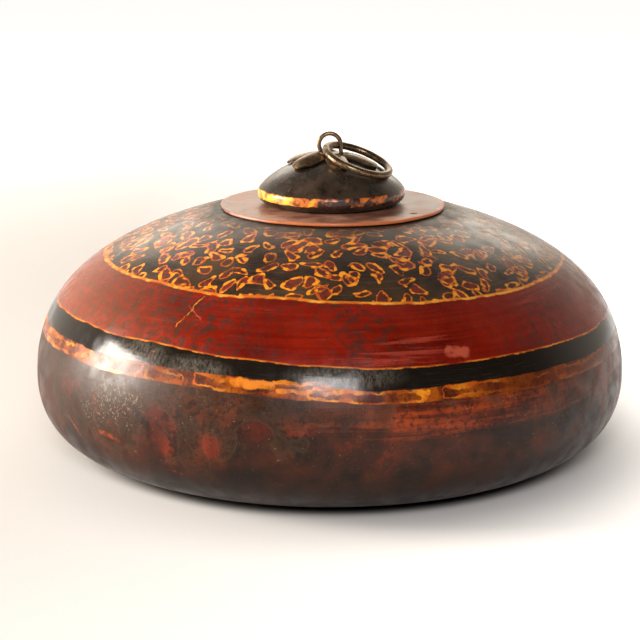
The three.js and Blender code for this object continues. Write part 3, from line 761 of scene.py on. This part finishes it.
# %% Bands over each other
WORN_STREAKS = {"across": 2.4 * MM, "along": 40 * MM}
brown = worn_lac(tree, where, lathe_streaks(tree, where, distance, **WORN_STREAKS))
line_break = add(tree, FADE, add(tree, NOISE, where, 34, 3, 0.55), 0.3, 0.44)
line_colour = add(tree, MIX, add(tree, FADE, ragged, 0.4, 0.6), colour("#b85e18"), colour("#dc9030"))
thin_line = add(tree, MIX, add(tree, FADE, ragged, 0.4, 0.6), colour("#8c3d12"), colour("#c06c1f"))
painted = add(tree, MIX, below("crown"), crown, line_colour)
painted = add(tree, MIX, below("crown", drop=0.9), painted, red)
painted = add(tree, MIX, add(tree, TIMES, below("red", drop=-0.6), line_break), painted, thin_line)
painted = add(tree, MIX, below("red"), painted, black)
painted = add(tree, MIX, below("black"), painted, orange)
painted = add(tree, MIX, below("orange"), painted, brown)
yellow_marks = near_lines(tree, where, YELLOW_MARKS)
painted = add(tree, MIX, add(tree, TIMES, yellow_marks, 0.85), painted, colour("#c8741a"))
pale_marks = near_lines(tree, where, PALE_MARKS)
painted = add(tree, MIX, add(tree, TIMES, pale_marks, 0.7), painted, colour("#b0503a"))
print("the bands and marks are laid over each other")

# %% Gloss and relief of the lid
gloss_spots = add(tree, NOISE, where, 120, 5, 0.6)  # 8.3 mm
soft_gloss = add(tree, FADE, gloss_spots, 0.3, 0.75, 0.2, 0.38)
bright_gloss = add(tree, FADE, gloss_spots, 0.3, 0.75, 0.1, 0.24)
on_black = add(tree, TIMES, below("red"), add(tree, MINUS, 1.0, below("black")))
gloss = add(tree, "ShaderNodeMix", on_black, soft_gloss, bright_gloss)
dull_gloss = add(tree, FADE, add(tree, NOISE, where, 100, 5, 0.55), 0.3, 0.7, 0.3, 0.5)
gloss = add(tree, "ShaderNodeMix", below("orange"), gloss, dull_gloss)
gloss = add(tree, TIMES_PLUS, grime, 0.2, gloss)
turning = add(tree, NOISE, fine_streaks, 1.0, 2, 0.55)
relief = add(tree, TIMES_PLUS, turning, 0.5, add(tree, NOISE, where, 260, 4, 0.55))
LID_RELIEF = 0.06 * MM
bumps = add(tree, "ShaderNodeBump", {"Strength": 0.55, "Distance": LID_RELIEF, "Height": relief})
finish_material(tree, {"Base Color": painted, "Roughness": gloss, "IOR": LAC_IOR,
                       "Specular IOR Level": LAC_SHINE, "Normal": bumps})
print("lid paint has", len(tree.nodes), "nodes")

# %% [markdown]
# ## Lac on the bowl
# The bowl takes the worn lac that the foot of the lid has too. Its relief is a little coarser,
# because nobody polished it again: the lathe's marks and small pits.

# %% Bowl paint
# The same lac worn by hands: duller, blotched, with a broken gloss
bowl_paint, tree = material("worn_lac_on_turned_wood_bowl")
where, axes, paint_map, distance = places_on(tree)
streaks = lathe_streaks(tree, where, distance, **WORN_STREAKS)
fine_streaks = lathe_streaks(tree, where, distance, across=0.6 * MM, along=14 * MM)
brown = worn_lac(tree, where, streaks)
gloss = add(tree, FADE, add(tree, NOISE, where, 100, 5, 0.55), 0.3, 0.7, 0.3, 0.5)
turning = add(tree, NOISE, fine_streaks, 1.0, 3, 0.55)
pits = add(tree, NOISE, where, 220, 5, 0.65)  # 4.5 mm
relief = add(tree, TIMES_PLUS, turning, 0.5, pits)
BOWL_RELIEF = 0.08 * MM
bumps = add(tree, "ShaderNodeBump", {"Strength": 0.6, "Distance": BOWL_RELIEF, "Height": relief})
finish_material(tree, {"Base Color": brown, "Roughness": gloss, "IOR": LAC_IOR,
                       "Specular IOR Level": LAC_SHINE, "Normal": bumps})
print("bowl paint has", len(tree.nodes), "nodes")

# %% [markdown]
# ## Bare wood inside
# Inside, the wood was left plain and has darkened. Wood shows growth lines that run through the
# block, so they are flat sheets cut by the round form, and fine marks of the turning tool.

# %% Inside wood
# Bare wood: no gloss, only the figure of the growth lines and short dark pores
inside_wood, tree = material("darkened_turned_wood")
where = add(tree, "ShaderNodeTexCoord").outputs["Object"]
GROWTH_LINE = 3.2 * MM
sheets = add(tree, VECTOR_TIMES, where, (1 / GROWTH_LINE, 0.06 / GROWTH_LINE, 0.3 / GROWTH_LINE))
figure = add(tree, NOISE, sheets, 0.35, 5, 0.6, {"Distortion": 0.3})
timber = add(tree, MIX, add(tree, FADE, figure, 0.32, 0.7), colour("#4a2f1d"), colour("#7d5535"))
# Real pores are 0.1 mm wide, too fine to show, so they are drawn 1.1 mm wide and 17 mm long
pores = add(tree, NOISE, add(tree, VECTOR_TIMES, where, (900, 60, 300)), 1.0, 2, 0.55)
timber = add(tree, MIX, add(tree, FADE, pores, 0.56, 0.7, 0, 0.5), timber, colour("#33200f"))
bumps = add(tree, "ShaderNodeBump", {"Strength": 0.5, "Distance": 0.1 * MM, "Height": pores})
WOOD_ROUGHNESS = 0.62
finish_material(tree, {"Base Color": timber, "Roughness": WOOD_ROUGHNESS, "IOR": LAC_IOR,
                       "Normal": bumps})
print("inside wood has", len(tree.nodes), "nodes")

# %% [markdown]
# ## Bowl and lid
# The two shells are spun from the curves above. The bowl's rim has a step and an upright lip; the
# lid's edge has the matching rebate. The gap between them is a hair's width, as on a box whose
# lid was fitted on the lathe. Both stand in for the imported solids, which have fewer facets.

# %% Bowl
SHELL_SIDES = 224
LIP_SIDE = 2 * LIP_EASING  # the lip's straight sides end this far below its top
seam = parameter_at_height(OUTER_SHOULDER, SEAM_HEIGHT)
edge_point = bezier(OUTER_SHOULDER, seam)


def eased(corner, come, leave):
    """A corner of the lip's profile, rounded: come and leave point from it to its neighbours."""
    def near(step, way):
        return (corner[0] + way[0] * step * LIP_EASING, corner[1] + way[1] * step * LIP_EASING)
    middle = (corner[0] + (come[0] + leave[0]) * 0.3 * LIP_EASING,
              corner[1] + (come[1] + leave[1]) * 0.3 * LIP_EASING)
    return [near(1.5, come), near(1, come), middle, near(1, leave), near(1.5, leave)]


bowl_stretches = [
    (0, [(0, 0)] + stretch(OUTER_UNDERSIDE, 0, 1, 40)),
    (0, stretch(OUTER_SHOULDER, 0, seam, 12)),
    (1, [tuple(edge_point), (LIP_OUTER, SEAM_HEIGHT), (LIP_OUTER, LIP_TOP - LIP_SIDE)]
     + eased((LIP_OUTER, LIP_TOP), (0, -1), (-1, 0)) + eased((LIP_INNER, LIP_TOP), (1, 0), (0, -1))
     + [(LIP_INNER, LIP_TOP - LIP_SIDE)]),
    (1, stretch(INNER_SHOULDER, parameter_at_height(INNER_SHOULDER, SEAM_HEIGHT), 0, 12)),
    (1, stretch(INNER_UNDERSIDE, 1, 0, 30) + [(0, FLOOR_THICKNESS)]),
]
bowl = new_object("bowl_shell", turned("bowl_shell", bowl_stretches, SHELL_SIDES, bowl_paint, inside_wood))
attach(bowl, "bowl")
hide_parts("bowl")
print("bowl:", len(bowl.data.polygons), "faces")

# %% Lid
lid_edge = SEAM_HEIGHT + SEAM_GAP
lid_edge_point = bezier(OUTER_SHOULDER, parameter_at_height(OUTER_SHOULDER, lid_edge))
rebate = LIP_OUTER + LIP_CLEARANCE
rebate_top = LIP_TOP + SEAM_GAP + LIP_CLEARANCE
lid_stretches = [
    (0, [(0, CROWN_HEIGHT)]
     + stretch(OUTER_SHOULDER, 1, parameter_at_height(OUTER_SHOULDER, lid_edge), 70)),
    (1, [tuple(lid_edge_point), (rebate, lid_edge), (rebate, rebate_top)]),
    (1, stretch(INNER_SHOULDER, parameter_at_height(INNER_SHOULDER, rebate_top), 1, 36)
     + [(0, CROWN_HEIGHT - CEILING)]),
]
lid = new_object("lid_shell", turned("lid_shell", lid_stretches, SHELL_SIDES, lid_paint, inside_wood))
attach(lid, "lid")
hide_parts("lid")
print("lid:", len(lid.data.polygons), "faces")

# %% [markdown]
# ## Knob
# A flattened dome of turned wood on a rounded underside, black-brown lac all over with an orange
# band at the widest place, worn through in spots. It is spun like the shells.

# %% Knob paint
FITTINGS_OFFSET = 0.9 * MM  # the knob and all that it holds sit off the lid's axis, towards +X
SEATING = 0.2 * MM
COLLAR_THICKNESS = 1.5 * MM
KNOB_BASE = CROWN_HEIGHT + COLLAR_THICKNESS + 2 * SEATING
KNOB_RADIUS = 37.9 * MM
KNOB_FOOT_RADIUS = 30 * MM
KNOB_UNDERCUT = 5.2 * MM
KNOB_BAND = 1.8 * MM
KNOB_DOME = 17.5 * MM
KNOB_SHOULDER = 2.5 * MM
KNOB_CROWN = 23.3 * MM
BAND_LOW = KNOB_BASE + 4.0 * MM
BAND_HIGH = KNOB_BASE + 8.2 * MM

# Lac on a small dome that is gripped often: satin, with pale scratches
knob_paint, tree = material("lac_on_turned_knob")
where, axes, paint_map, distance = places_on(tree)
fine_streaks = lathe_streaks(tree, where, distance, across=0.4 * MM, along=7 * MM)
stain = add(tree, NOISE, where, 85, 6, 0.65)  # 12 mm
dark = add(tree, MIX, add(tree, FADE, stain, 0.36, 0.66), colour("#17110c"), colour("#382a1f"))
scratch = add(tree, NOISE, add(tree, VECTOR_TIMES, where, (1, 1, 0.35)), 520, 5, 0.75,
              {"Distortion": 1.2})
dark = add(tree, MIX, add(tree, FADE, scratch, 0.58, 0.72, 0, 0.5), dark, colour("#75634f"))
ragged = add(tree, NOISE, where, 190, 4, 0.55)  # 5.3 mm
height = add(tree, PLUS, axes.outputs["Z"], add(tree, TIMES_PLUS, ragged, 1.6 * MM, -0.8 * MM))
in_band = add(tree, TIMES, add(tree, FADE, height, BAND_LOW - 0.2 * MM, BAND_LOW + 0.2 * MM),
              add(tree, FADE, height, BAND_HIGH + 0.2 * MM, BAND_HIGH - 0.2 * MM))
cloud = add(tree, NOISE, where, 150, 4, 0.65)  # 6.7 mm
cloud = add(tree, PLUS, cloud, add(tree, FADE, axes.outputs["X"], 0.0, -22 * MM, -0.06, 0.08))
band = add(tree, MIX, add(tree, FADE, cloud, 0.4, 0.5), colour("#2e130a"), colour("#b8601a"))
band = add(tree, MIX, add(tree, FADE, cloud, 0.52, 0.62), band, colour("#eba42e"))
painted = add(tree, MIX, in_band, dark, band)
gloss = add(tree, FADE, stain, 0.3, 0.7, 0.2, 0.4)
turning = add(tree, NOISE, fine_streaks, 1.0, 2, 0.55)
relief = add(tree, TIMES_PLUS, turning, 0.4, add(tree, NOISE, where, 300, 4, 0.55))
bumps = add(tree, "ShaderNodeBump", {"Strength": 0.6, "Distance": 0.08 * MM, "Height": relief})
finish_material(tree, {"Base Color": painted, "Roughness": gloss, "IOR": LAC_IOR, "Normal": bumps})
print("knob paint has", len(tree.nodes), "nodes")

# %% Knob
band_base = KNOB_BASE + KNOB_UNDERCUT
knob_top = band_base + KNOB_BAND + KNOB_DOME
underneath = [(KNOB_FOOT_RADIUS, KNOB_BASE), (KNOB_RADIUS - 2 * MM, KNOB_BASE + 0.6 * MM),
              (KNOB_RADIUS, band_base - 2.4 * MM), (KNOB_RADIUS, band_base)]
DOME = [(KNOB_RADIUS, band_base + KNOB_BAND), (KNOB_RADIUS, band_base + KNOB_BAND + KNOB_SHOULDER),
        (KNOB_CROWN, knob_top), (0, knob_top)]
knob_stretches = [(0, stretch(DOME, 1, 0, 40)), (0, stretch(underneath, 1, 0, 14) + [(0, KNOB_BASE)])]
knob_mesh = turned("knob_turned", knob_stretches, 128, knob_paint, knob_paint)
knob_mesh.transform(Matrix.Translation((FITTINGS_OFFSET, 0, 0)))
knob = new_object("knob_turned", knob_mesh)
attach(knob, "lid")
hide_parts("knob")
print("knob top at %.1f mm" % (knob_top / MM))

# %% [markdown]
# ## Collar of hide
# Between lid and knob lies a disc of thick hide, cut by hand, so its edge wavers. The face has
# gone dark and matt and the cut edge stays tan. One nail hole is empty. A grid of rings follows
# the wavy outline; the last rings round the edge over.

# %% Hide
# Hide scraped and greased: a soft sheen on a grain too fine to count, and a raw, tan cut edge
hide, tree = material("thick_dressed_hide")
where = add(tree, "ShaderNodeTexCoord").outputs["Object"]
axes = add(tree, "ShaderNodeSeparateXYZ", where)
flat_place = add(tree, VECTOR_TIMES, where, (1, 1, 0))
away = add(tree, LENGTH, flat_place)
cloud = add(tree, NOISE, where, 60, 5, 0.6)  # 17 mm
face = add(tree, MIX, add(tree, FADE, cloud, 0.35, 0.68), colour("#6e4635"), colour("#b07c64"))
grain = add(tree, NOISE, where, 900, 3, 0.7)  # 1.1 mm, twice as coarse as real, so that it shows
face = add(tree, MIX, add(tree, FADE, grain, 0.5, 0.7, 0, 0.55), face, colour("#402a1f"))
handled = add(tree, NOISE, where, 110, 5, 0.7)  # 9.1 mm
face = add(tree, MIX, add(tree, FADE, handled, 0.54, 0.66, 0, 0.6), face, colour("#4f3d31"))
rim_noise = add(tree, TIMES_PLUS, add(tree, NOISE, where, 140, 4, 0.55), 3.2 * MM, away)
rim = add(tree, FADE, rim_noise, 58.2 * MM, 59.2 * MM)
hide_colour = add(tree, MIX, rim, face, colour("#b4602f"))
relief = add(tree, PLUS, grain, cloud)
bumps = add(tree, "ShaderNodeBump", {"Strength": 0.5, "Distance": 0.12 * MM, "Height": relief})
polish = add(tree, FADE, cloud, 0.35, 0.68, 0.34, 0.5)
finish_material(tree, {"Base Color": hide_colour, "Roughness": polish, "IOR": LAC_IOR,
                       "Normal": bumps})
print("hide has", len(tree.nodes), "nodes")

# %% Outline of the collar
COLLAR_RADIUS = 57.9 * MM
COLLAR_WAVES = (  # how many to a round, height in mm, turn in degrees
    (1, 0.6, 140), (2, 0.5, 170), (3, 0.25, 25), (5, 0.24, 70), (11, 0.13, 10),
)


def collar_radius(angle):
    waves = sum(h * math.sin(n * angle + math.radians(turn)) for n, h, turn in COLLAR_WAVES)
    return COLLAR_RADIUS + waves * MM


collar_reaches = [collar_radius(math.radians(bearing)) / MM for bearing in range(360)]
print("collar reaches from %.1f to %.1f mm" % (min(collar_reaches), max(collar_reaches)))

# %% Collar disc
COLLAR_BASE = CROWN_HEIGHT + SEATING


def collar_mesh(sides=200, steps=24, corner=6):
    """Rings from the middle outwards on top, round the edge, and back underneath."""
    half = COLLAR_THICKNESS / 2
    rounding = half * 0.6
    shape = bmesh.new()
    outline = [(i / steps, half, 0.0) for i in range(1, steps + 1)]
    outline += [(1, half * math.cos(a), math.sin(a))
                for a in (math.pi * i / corner for i in range(1, corner))]
    outline += [(i / steps, -half, 0.0) for i in range(steps, 0, -1)]
    rings = []
    for share, height, bulge in outline:
        ring = []
        for j in range(sides):
            angle = 2 * math.pi * j / sides
            radius = (collar_radius(angle) - rounding) * share + rounding * bulge
            ring.append(shape.verts.new((radius * math.cos(angle), radius * math.sin(angle),
                                         COLLAR_BASE + half + height)))
        rings.append(ring)
    for here, there in zip(rings, rings[1:]):
        for j in range(sides):
            k = (j + 1) % sides
            shape.faces.new((here[j], there[j], there[k], here[k]))
    for ring, height in ((rings[0], half), (rings[-1], -half)):
        middle = shape.verts.new((0, 0, COLLAR_BASE + half + height))
        for j in range(sides):
            shape.faces.new((ring[j], ring[(j + 1) % sides], middle))
    bmesh.ops.recalc_face_normals(shape, faces=shape.faces)
    bmesh.ops.translate(shape, verts=shape.verts, vec=(FITTINGS_OFFSET, 0, 0))
    mesh = bpy.data.meshes.new("hide_collar")
    shape.to_mesh(mesh)
    shape.free()
    mesh.polygons.foreach_set("use_smooth", [True] * len(mesh.polygons))
    return mesh


collar = new_object("hide_collar", collar_mesh(), hide)
print("collar disc:", len(collar.data.polygons), "faces before the hole is punched")

# %% Nail hole
NAIL_HOLE = (51.5 * MM, -36.5, 1.8 * MM)  # from the axis, bearing in degrees, radius
PUNCH_LENGTH = 8 * MM
punch_mesh = bpy.data.meshes.new("punch")
punch_shape = bmesh.new()
bmesh.ops.create_cone(punch_shape, cap_ends=True, segments=20, radius1=NAIL_HOLE[2],
                      radius2=NAIL_HOLE[2], depth=PUNCH_LENGTH)
bearing = math.radians(NAIL_HOLE[1])
bmesh.ops.translate(punch_shape, verts=punch_shape.verts,
                    vec=(FITTINGS_OFFSET + NAIL_HOLE[0] * math.cos(bearing),
                         NAIL_HOLE[0] * math.sin(bearing), COLLAR_BASE))
punch_shape.to_mesh(punch_mesh)
punch_shape.free()
punch = new_object("punch", punch_mesh)
cut = collar.modifiers.new("nail_hole", "BOOLEAN")
cut.object = punch
cut.operation = "DIFFERENCE"
punched = bpy.data.meshes.new_from_object(collar.evaluated_get(bpy.context.evaluated_depsgraph_get()))
collar.modifiers.clear()
collar.data = punched
bpy.data.objects.remove(punch)
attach(collar, "lid")
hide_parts("collar_disc")
print("collar:", len(collar.data.polygons), "faces")

# %% [markdown]
# ## Wrought iron
# The rosette, staple and ring are hand-forged iron, brown with age and bright where they rub.
# Aged iron is a metal under a thin skin of rust, so it is metallic but rough, and its colour
# goes from brown to grey. Hammer dents are drawn as slow bumps of about 2 mm.

# %% Iron
# Wrought iron under a thin brown skin: slow hammer dents catch the light, high spots are bright
iron, tree = material("aged_wrought_iron")
where = add(tree, "ShaderNodeTexCoord").outputs["Object"]
HAMMER_DENT = 2.2 * MM
dents = add(tree, NOISE, where, 1 / HAMMER_DENT / 2, 2, 0.55)  # one cell holds a dent and a ridge
rust = add(tree, NOISE, where, 480, 5, 0.7)  # 2.1 mm
skin = add(tree, MIX, add(tree, FADE, rust, 0.35, 0.65), colour("#57452f"), colour("#74604a"))
skin = add(tree, MIX, add(tree, FADE, dents, 0.5, 0.72, 0, 0.5), skin, colour("#a07c58"))
dull = add(tree, FADE, rust, 0.35, 0.7, 0.26, 0.4)
relief = add(tree, TIMES_PLUS, rust, 0.25, add(tree, TIMES, dents, 2.0))
bumps = add(tree, "ShaderNodeBump", {"Strength": 0.5, "Distance": 0.12 * MM, "Height": relief})
finish_material(tree, {"Base Color": skin, "Roughness": dull, "Metallic": 0.85, "Normal": bumps})
print("iron has", len(tree.nodes), "nodes")

# %% [markdown]
# ## Rosette
# Six petals cut from sheet iron, hammered hollow from below and bent over the dome. The outline
# is a formula in bearing: the longest petal there, with parallel sides and a round tip. The sheet
# follows the dome's curve, and each petal's middle stands off it while its edge lies on it. The
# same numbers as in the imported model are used.

# %% Sizes of the rosette
SHEET = 1.1 * MM
PETAL_LENGTH = 23 * MM
PETAL_HALF_WIDTH = 5.5 * MM
PETAL_CROWN = 2 * MM
PETALS = (  # bearing in degrees, then length, width and crown as shares of those sizes
    (-18, 1.04, 0.87, 0.6), (-79, 0.96, 0.92, 0.4), (-142, 0.99, 1.15, 1.3),
    (163, 1.01, 1.05, 0.75), (102, 1, 1, 1.1), (42, 1, 0.92, 0.25),
)
STAPLE_WIRE = 1.1 * MM
STAPLE_HALF_WIDTH = 5 * MM
print("petals of", [round(PETAL_LENGTH * length / MM, 1) for _, length, _, _ in PETALS], "mm")

# %% Outline of the petals
petals = []  # bearing, half width, middle of the round tip, half the bearings that it takes, crown
for bearing, length, width, crown in sorted(PETALS):
    half_width = width * PETAL_HALF_WIDTH
    tip_centre = length * PETAL_LENGTH - half_width
    petals.append((math.radians(bearing), half_width, tip_centre, math.atan(half_width / tip_centre),
                   crown * PETAL_CROWN))


def petal_reach(petal, angle):
    """How far this petal reaches at a bearing: a straight side, or the round tip, or 0 beside it."""
    bearing, half_width, tip_centre, tip_angle, _ = petal
    turn = abs(math.asin(math.sin(angle - bearing)))
    if math.cos(angle - bearing) <= 0:
        return 0.0
    if turn >= tip_angle:
        return half_width / math.sin(turn)
    return tip_centre * math.cos(turn) + math.sqrt(half_width ** 2 - (tip_centre * math.sin(turn)) ** 2)


def rosette_bearings(tip_steps=9, gap_steps=9):
    """Bearings all round, with one on each petal's middle and on each corner of its tip."""
    bearings = []
    for petal, following in zip(petals, petals[1:] + petals[:1]):
        start, tip = petal[0], petal[3]
        end, next_tip = following[0], following[3]
        if end < start:
            end += 2 * math.pi
        gap_start, gap_end = start + tip, end - next_tip
        bearings += [start + tip * i / tip_steps for i in range(tip_steps)]
        bearings += [gap_start + (gap_end - gap_start) * i / gap_steps for i in range(gap_steps)]
        bearings += [gap_end + next_tip * i / tip_steps for i in range(tip_steps)]
    return bearings


print("rosette has", len(rosette_bearings()), "columns of points")

# %% Crown of the petals
def dome_height(radius):
    """Height of the knob's dome at this distance from its middle, found by halving."""
    low, high = 0.0, 1.0
    for _ in range(30):
        middle = (low + high) / 2
        if bezier(DOME, middle).x > radius:
            low = middle
        else:
            high = middle
    return bezier(DOME, (low + high) / 2).y


def smooth(value, low, high):
    share = min(1, max(0, (value - low) / (high - low)))
    return share * share * (3 - 2 * share)


def petal_crown(radius, angle):
    """How far the hammered sheet stands off the dome here: most in a petal's middle."""
    crowns = [0]
    for bearing, half_width, tip_centre, _, crown in petals:
        turn = angle - bearing
        if math.cos(turn) > 0:
            across = radius * math.sin(turn) / half_width
            past = max(0, radius * math.cos(turn) - tip_centre) / half_width
            crowns.append(crown * (1 - across ** 2 - past ** 4))
    start = STAPLE_HALF_WIDTH + STAPLE_WIRE
    return max(crowns) * smooth(radius, start, 1.6 * start)


print("the dome is %.1f mm high at its middle" % (dome_height(0) / MM))

# %% Rosette
def rosette_mesh(rings=22):
    shape = bmesh.new()
    middle = shape.verts.new((0, 0, dome_height(0) + SEATING))
    columns = []
    for angle in rosette_bearings():
        column = []
        for ring in range(1, rings + 1):
            radius = max(petal_reach(petal, angle) for petal in petals) * ring / rings
            height = dome_height(radius) + SEATING + petal_crown(radius, angle)
            column.append(shape.verts.new((radius * math.cos(angle), radius * math.sin(angle), height)))
        columns.append(column)
    for here, there in zip(columns, columns[1:] + columns[:1]):
        shape.faces.new((middle, here[0], there[0]))
        for ring in range(rings - 1):
            shape.faces.new((here[ring], here[ring + 1], there[ring + 1], there[ring]))
    bmesh.ops.translate(shape, verts=shape.verts, vec=(FITTINGS_OFFSET, 0, 0))
    mesh = bpy.data.meshes.new("rosette_sheet")
    shape.to_mesh(mesh)
    shape.free()
    return mesh


rosette = new_object("rosette_sheet", rosette_mesh(), iron)
thick = rosette.modifiers.new("sheet", "SOLIDIFY")
thick.thickness = SHEET
thick.offset = 1
rosette.data = bpy.data.meshes.new_from_object(rosette.evaluated_get(bpy.context.evaluated_depsgraph_get()))
rosette.modifiers.clear()
rosette.data.polygons.foreach_set("use_smooth", [True] * len(rosette.data.polygons))
rosette.data.set_sharp_from_angle(angle=math.radians(40))
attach(rosette, "lid")
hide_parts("rosette")
print("rosette:", len(rosette.data.polygons), "faces")

# %% [markdown]
# ## Staple and ring
# Both are iron wire, drawn and then hammered, so its thickness wavers a little along it. A wire
# follows a path, so a second tree of Geometry Nodes sweeps a circle along a line of points and
# lets slow noise swell it. The path itself is worked out from the same sizes as in the packed
# model.

# %% Wire
drawing, sizes_in = shaping_tree("drawn_wire", {"Radius": "Float", "Sides": "Int", "Waver": "Float",
                                                "Grain": "Float", "Iron": "Material"})
path = add(drawing, "GeometryNodeMeshToCurve", sizes_in["Line"])
section = add(drawing, "GeometryNodeCurvePrimitiveCircle",
              {"Resolution": sizes_in["Sides"], "Radius": sizes_in["Radius"]})
place = add(drawing, "GeometryNodeInputPosition")
grains = add(drawing, "ShaderNodeMath", 1.0, sizes_in["Grain"], operation="DIVIDE")
swell = add(drawing, NOISE, place, grains, 1.0, 0.55)
least = add(drawing, MINUS, 1.0, sizes_in["Waver"])
most = add(drawing, PLUS, 1.0, sizes_in["Waver"])
swell = add(drawing, "ShaderNodeMapRange", swell, 0.3, 0.7, least, most)
tube = add(drawing, "GeometryNodeCurveToMesh",
           {"Curve": path, "Profile Curve": section, "Scale": swell, "Fill Caps": True})
smoothed = add(drawing, "GeometryNodeSetShadeSmooth", tube, {"Shade Smooth": True})
whole = add(drawing, "GeometryNodeRealizeInstances", smoothed)
painted = add(drawing, "GeometryNodeSetMaterial", whole, {"Material": sizes_in["Iron"]})
add(drawing, "NodeGroupOutput", painted)


def wire_mesh(name, path, radius, closed, sides=20, waver=0.05):
    """A wire along a path of points; waver is how much its thickness changes, as a share."""
    line = bpy.data.meshes.new(name + "_path")
    edges = [(i, i + 1) for i in range(len(path) - 1)] + [(len(path) - 1, 0)] * closed
    line.from_pydata(path, edges, [])
    return shaped(name, line, drawing, {"Radius": radius, "Sides": sides, "Waver": waver,
                                        "Grain": 6 * MM, "Iron": iron})


def rounded(points, passes=3):
    """Eases the corners of an open path and leaves its ends."""
    for _ in range(passes):
        eased = [(a + b * 2 + c) / 4 for a, b, c in zip(points, points[1:], points[2:])]
        points = [points[0], *eased, points[-1]]
    return points


print("the wire's tree has", len(drawing.nodes), "nodes")

# %% Staple
EYE_RADIUS = 5.6 * MM
STAPLE_TOP = 12.6 * MM
CLINCH_BEND = 1.7 * MM
CLINCH_LENGTH = 9 * MM
ROVE_THICKNESS = 1.2 * MM
EYE_TOP = knob_top + STAPLE_TOP - STAPLE_WIRE
LEG_STEP = 2 * MM
CLINCH_STEPS, BEND_STEPS, EYE_STEPS = 6, 8, 16  # straight pieces that each part of the wire is made of


def staple_path(side):
    """One leg from its clinched end up into the round eye, which stands on the lid's axis."""
    bend_top = CROWN_HEIGHT - CEILING - 2 * SEATING - ROVE_THICKNESS
    leg = FITTINGS_OFFSET + side * STAPLE_HALF_WIDTH
    bend = leg + side * CLINCH_BEND
    points = [Vector((bend + side * CLINCH_LENGTH * (1 - i / CLINCH_STEPS), 0, bend_top - CLINCH_BEND))
              for i in range(CLINCH_STEPS)]
    for i in range(BEND_STEPS + 1):
        angle = math.pi / 2 * (1 + i / BEND_STEPS)
        points.append(Vector((bend + side * CLINCH_BEND * math.cos(angle), 0,
                              bend_top - CLINCH_BEND * math.sin(angle))))
    steps = round((knob_top - bend_top) / LEG_STEP)
    points += [Vector((leg, 0, bend_top + (knob_top - bend_top) * i / steps)) for i in range(1, steps + 1)]
    leave = -math.acos(min(1, abs(leg) / EYE_RADIUS))
    for i in range(EYE_STEPS):
        angle = leave + (math.pi / 2 - leave) * (i + 0.5) / EYE_STEPS
        points.append(Vector((side * EYE_RADIUS * math.cos(angle), 0,
                              EYE_TOP - EYE_RADIUS + EYE_RADIUS * math.sin(angle))))
    return points


staple_line = rounded(staple_path(1) + list(reversed(staple_path(-1))))
staple = new_object("staple_wire", wire_mesh("staple_wire", staple_line, STAPLE_WIRE, False))
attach(staple, "lid")
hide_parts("staple")
print("staple:", len(staple.data.polygons), "faces")

# %% Ring
RING_RADIUS = 17.1 * MM
RING_WIRE = 1.9 * MM
RING_BELOW_EYE = 6.3 * MM
RING_BEARING = math.radians(-26)
RING_DROOP = math.radians(22)
RING_TURN = Matrix.Rotation(RING_BEARING, 4, "Z") @ Matrix.Rotation(RING_DROOP, 4, "Y")
hinge = Vector((0, 0, EYE_TOP - RING_BELOW_EYE))
RING_STEPS = 120
ring_path = []
for i in range(RING_STEPS):
    angle = 2 * math.pi * i / RING_STEPS
    flat = Vector((RING_RADIUS * (1 + math.cos(angle)), RING_RADIUS * math.sin(angle), 0))
    ring_path.append(hinge + RING_TURN @ flat)
ring_mesh = wire_mesh("pull_ring_wire", ring_path, RING_WIRE, True, sides=24, waver=0.04)
ring = new_object("pull_ring_wire", ring_mesh)
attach(ring, "ring")
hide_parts("pull_ring")
print("ring hinge at %.1f mm" % (hinge.z / MM))

# %% [markdown]
# ## Rove
# Under the lid the staple's two ends are bent outwards over a small plate of iron, the rove, so
# that they can't tear through the wood. The photograph doesn't show it. It could be drawn again
# like the rosette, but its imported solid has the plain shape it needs, so it is kept and is only
# given the iron.

# %% Rove
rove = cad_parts["rove"]
rove.data.materials.clear()
rove.data.materials.append(iron)
print("rove:", len(rove.data.polygons), "faces")
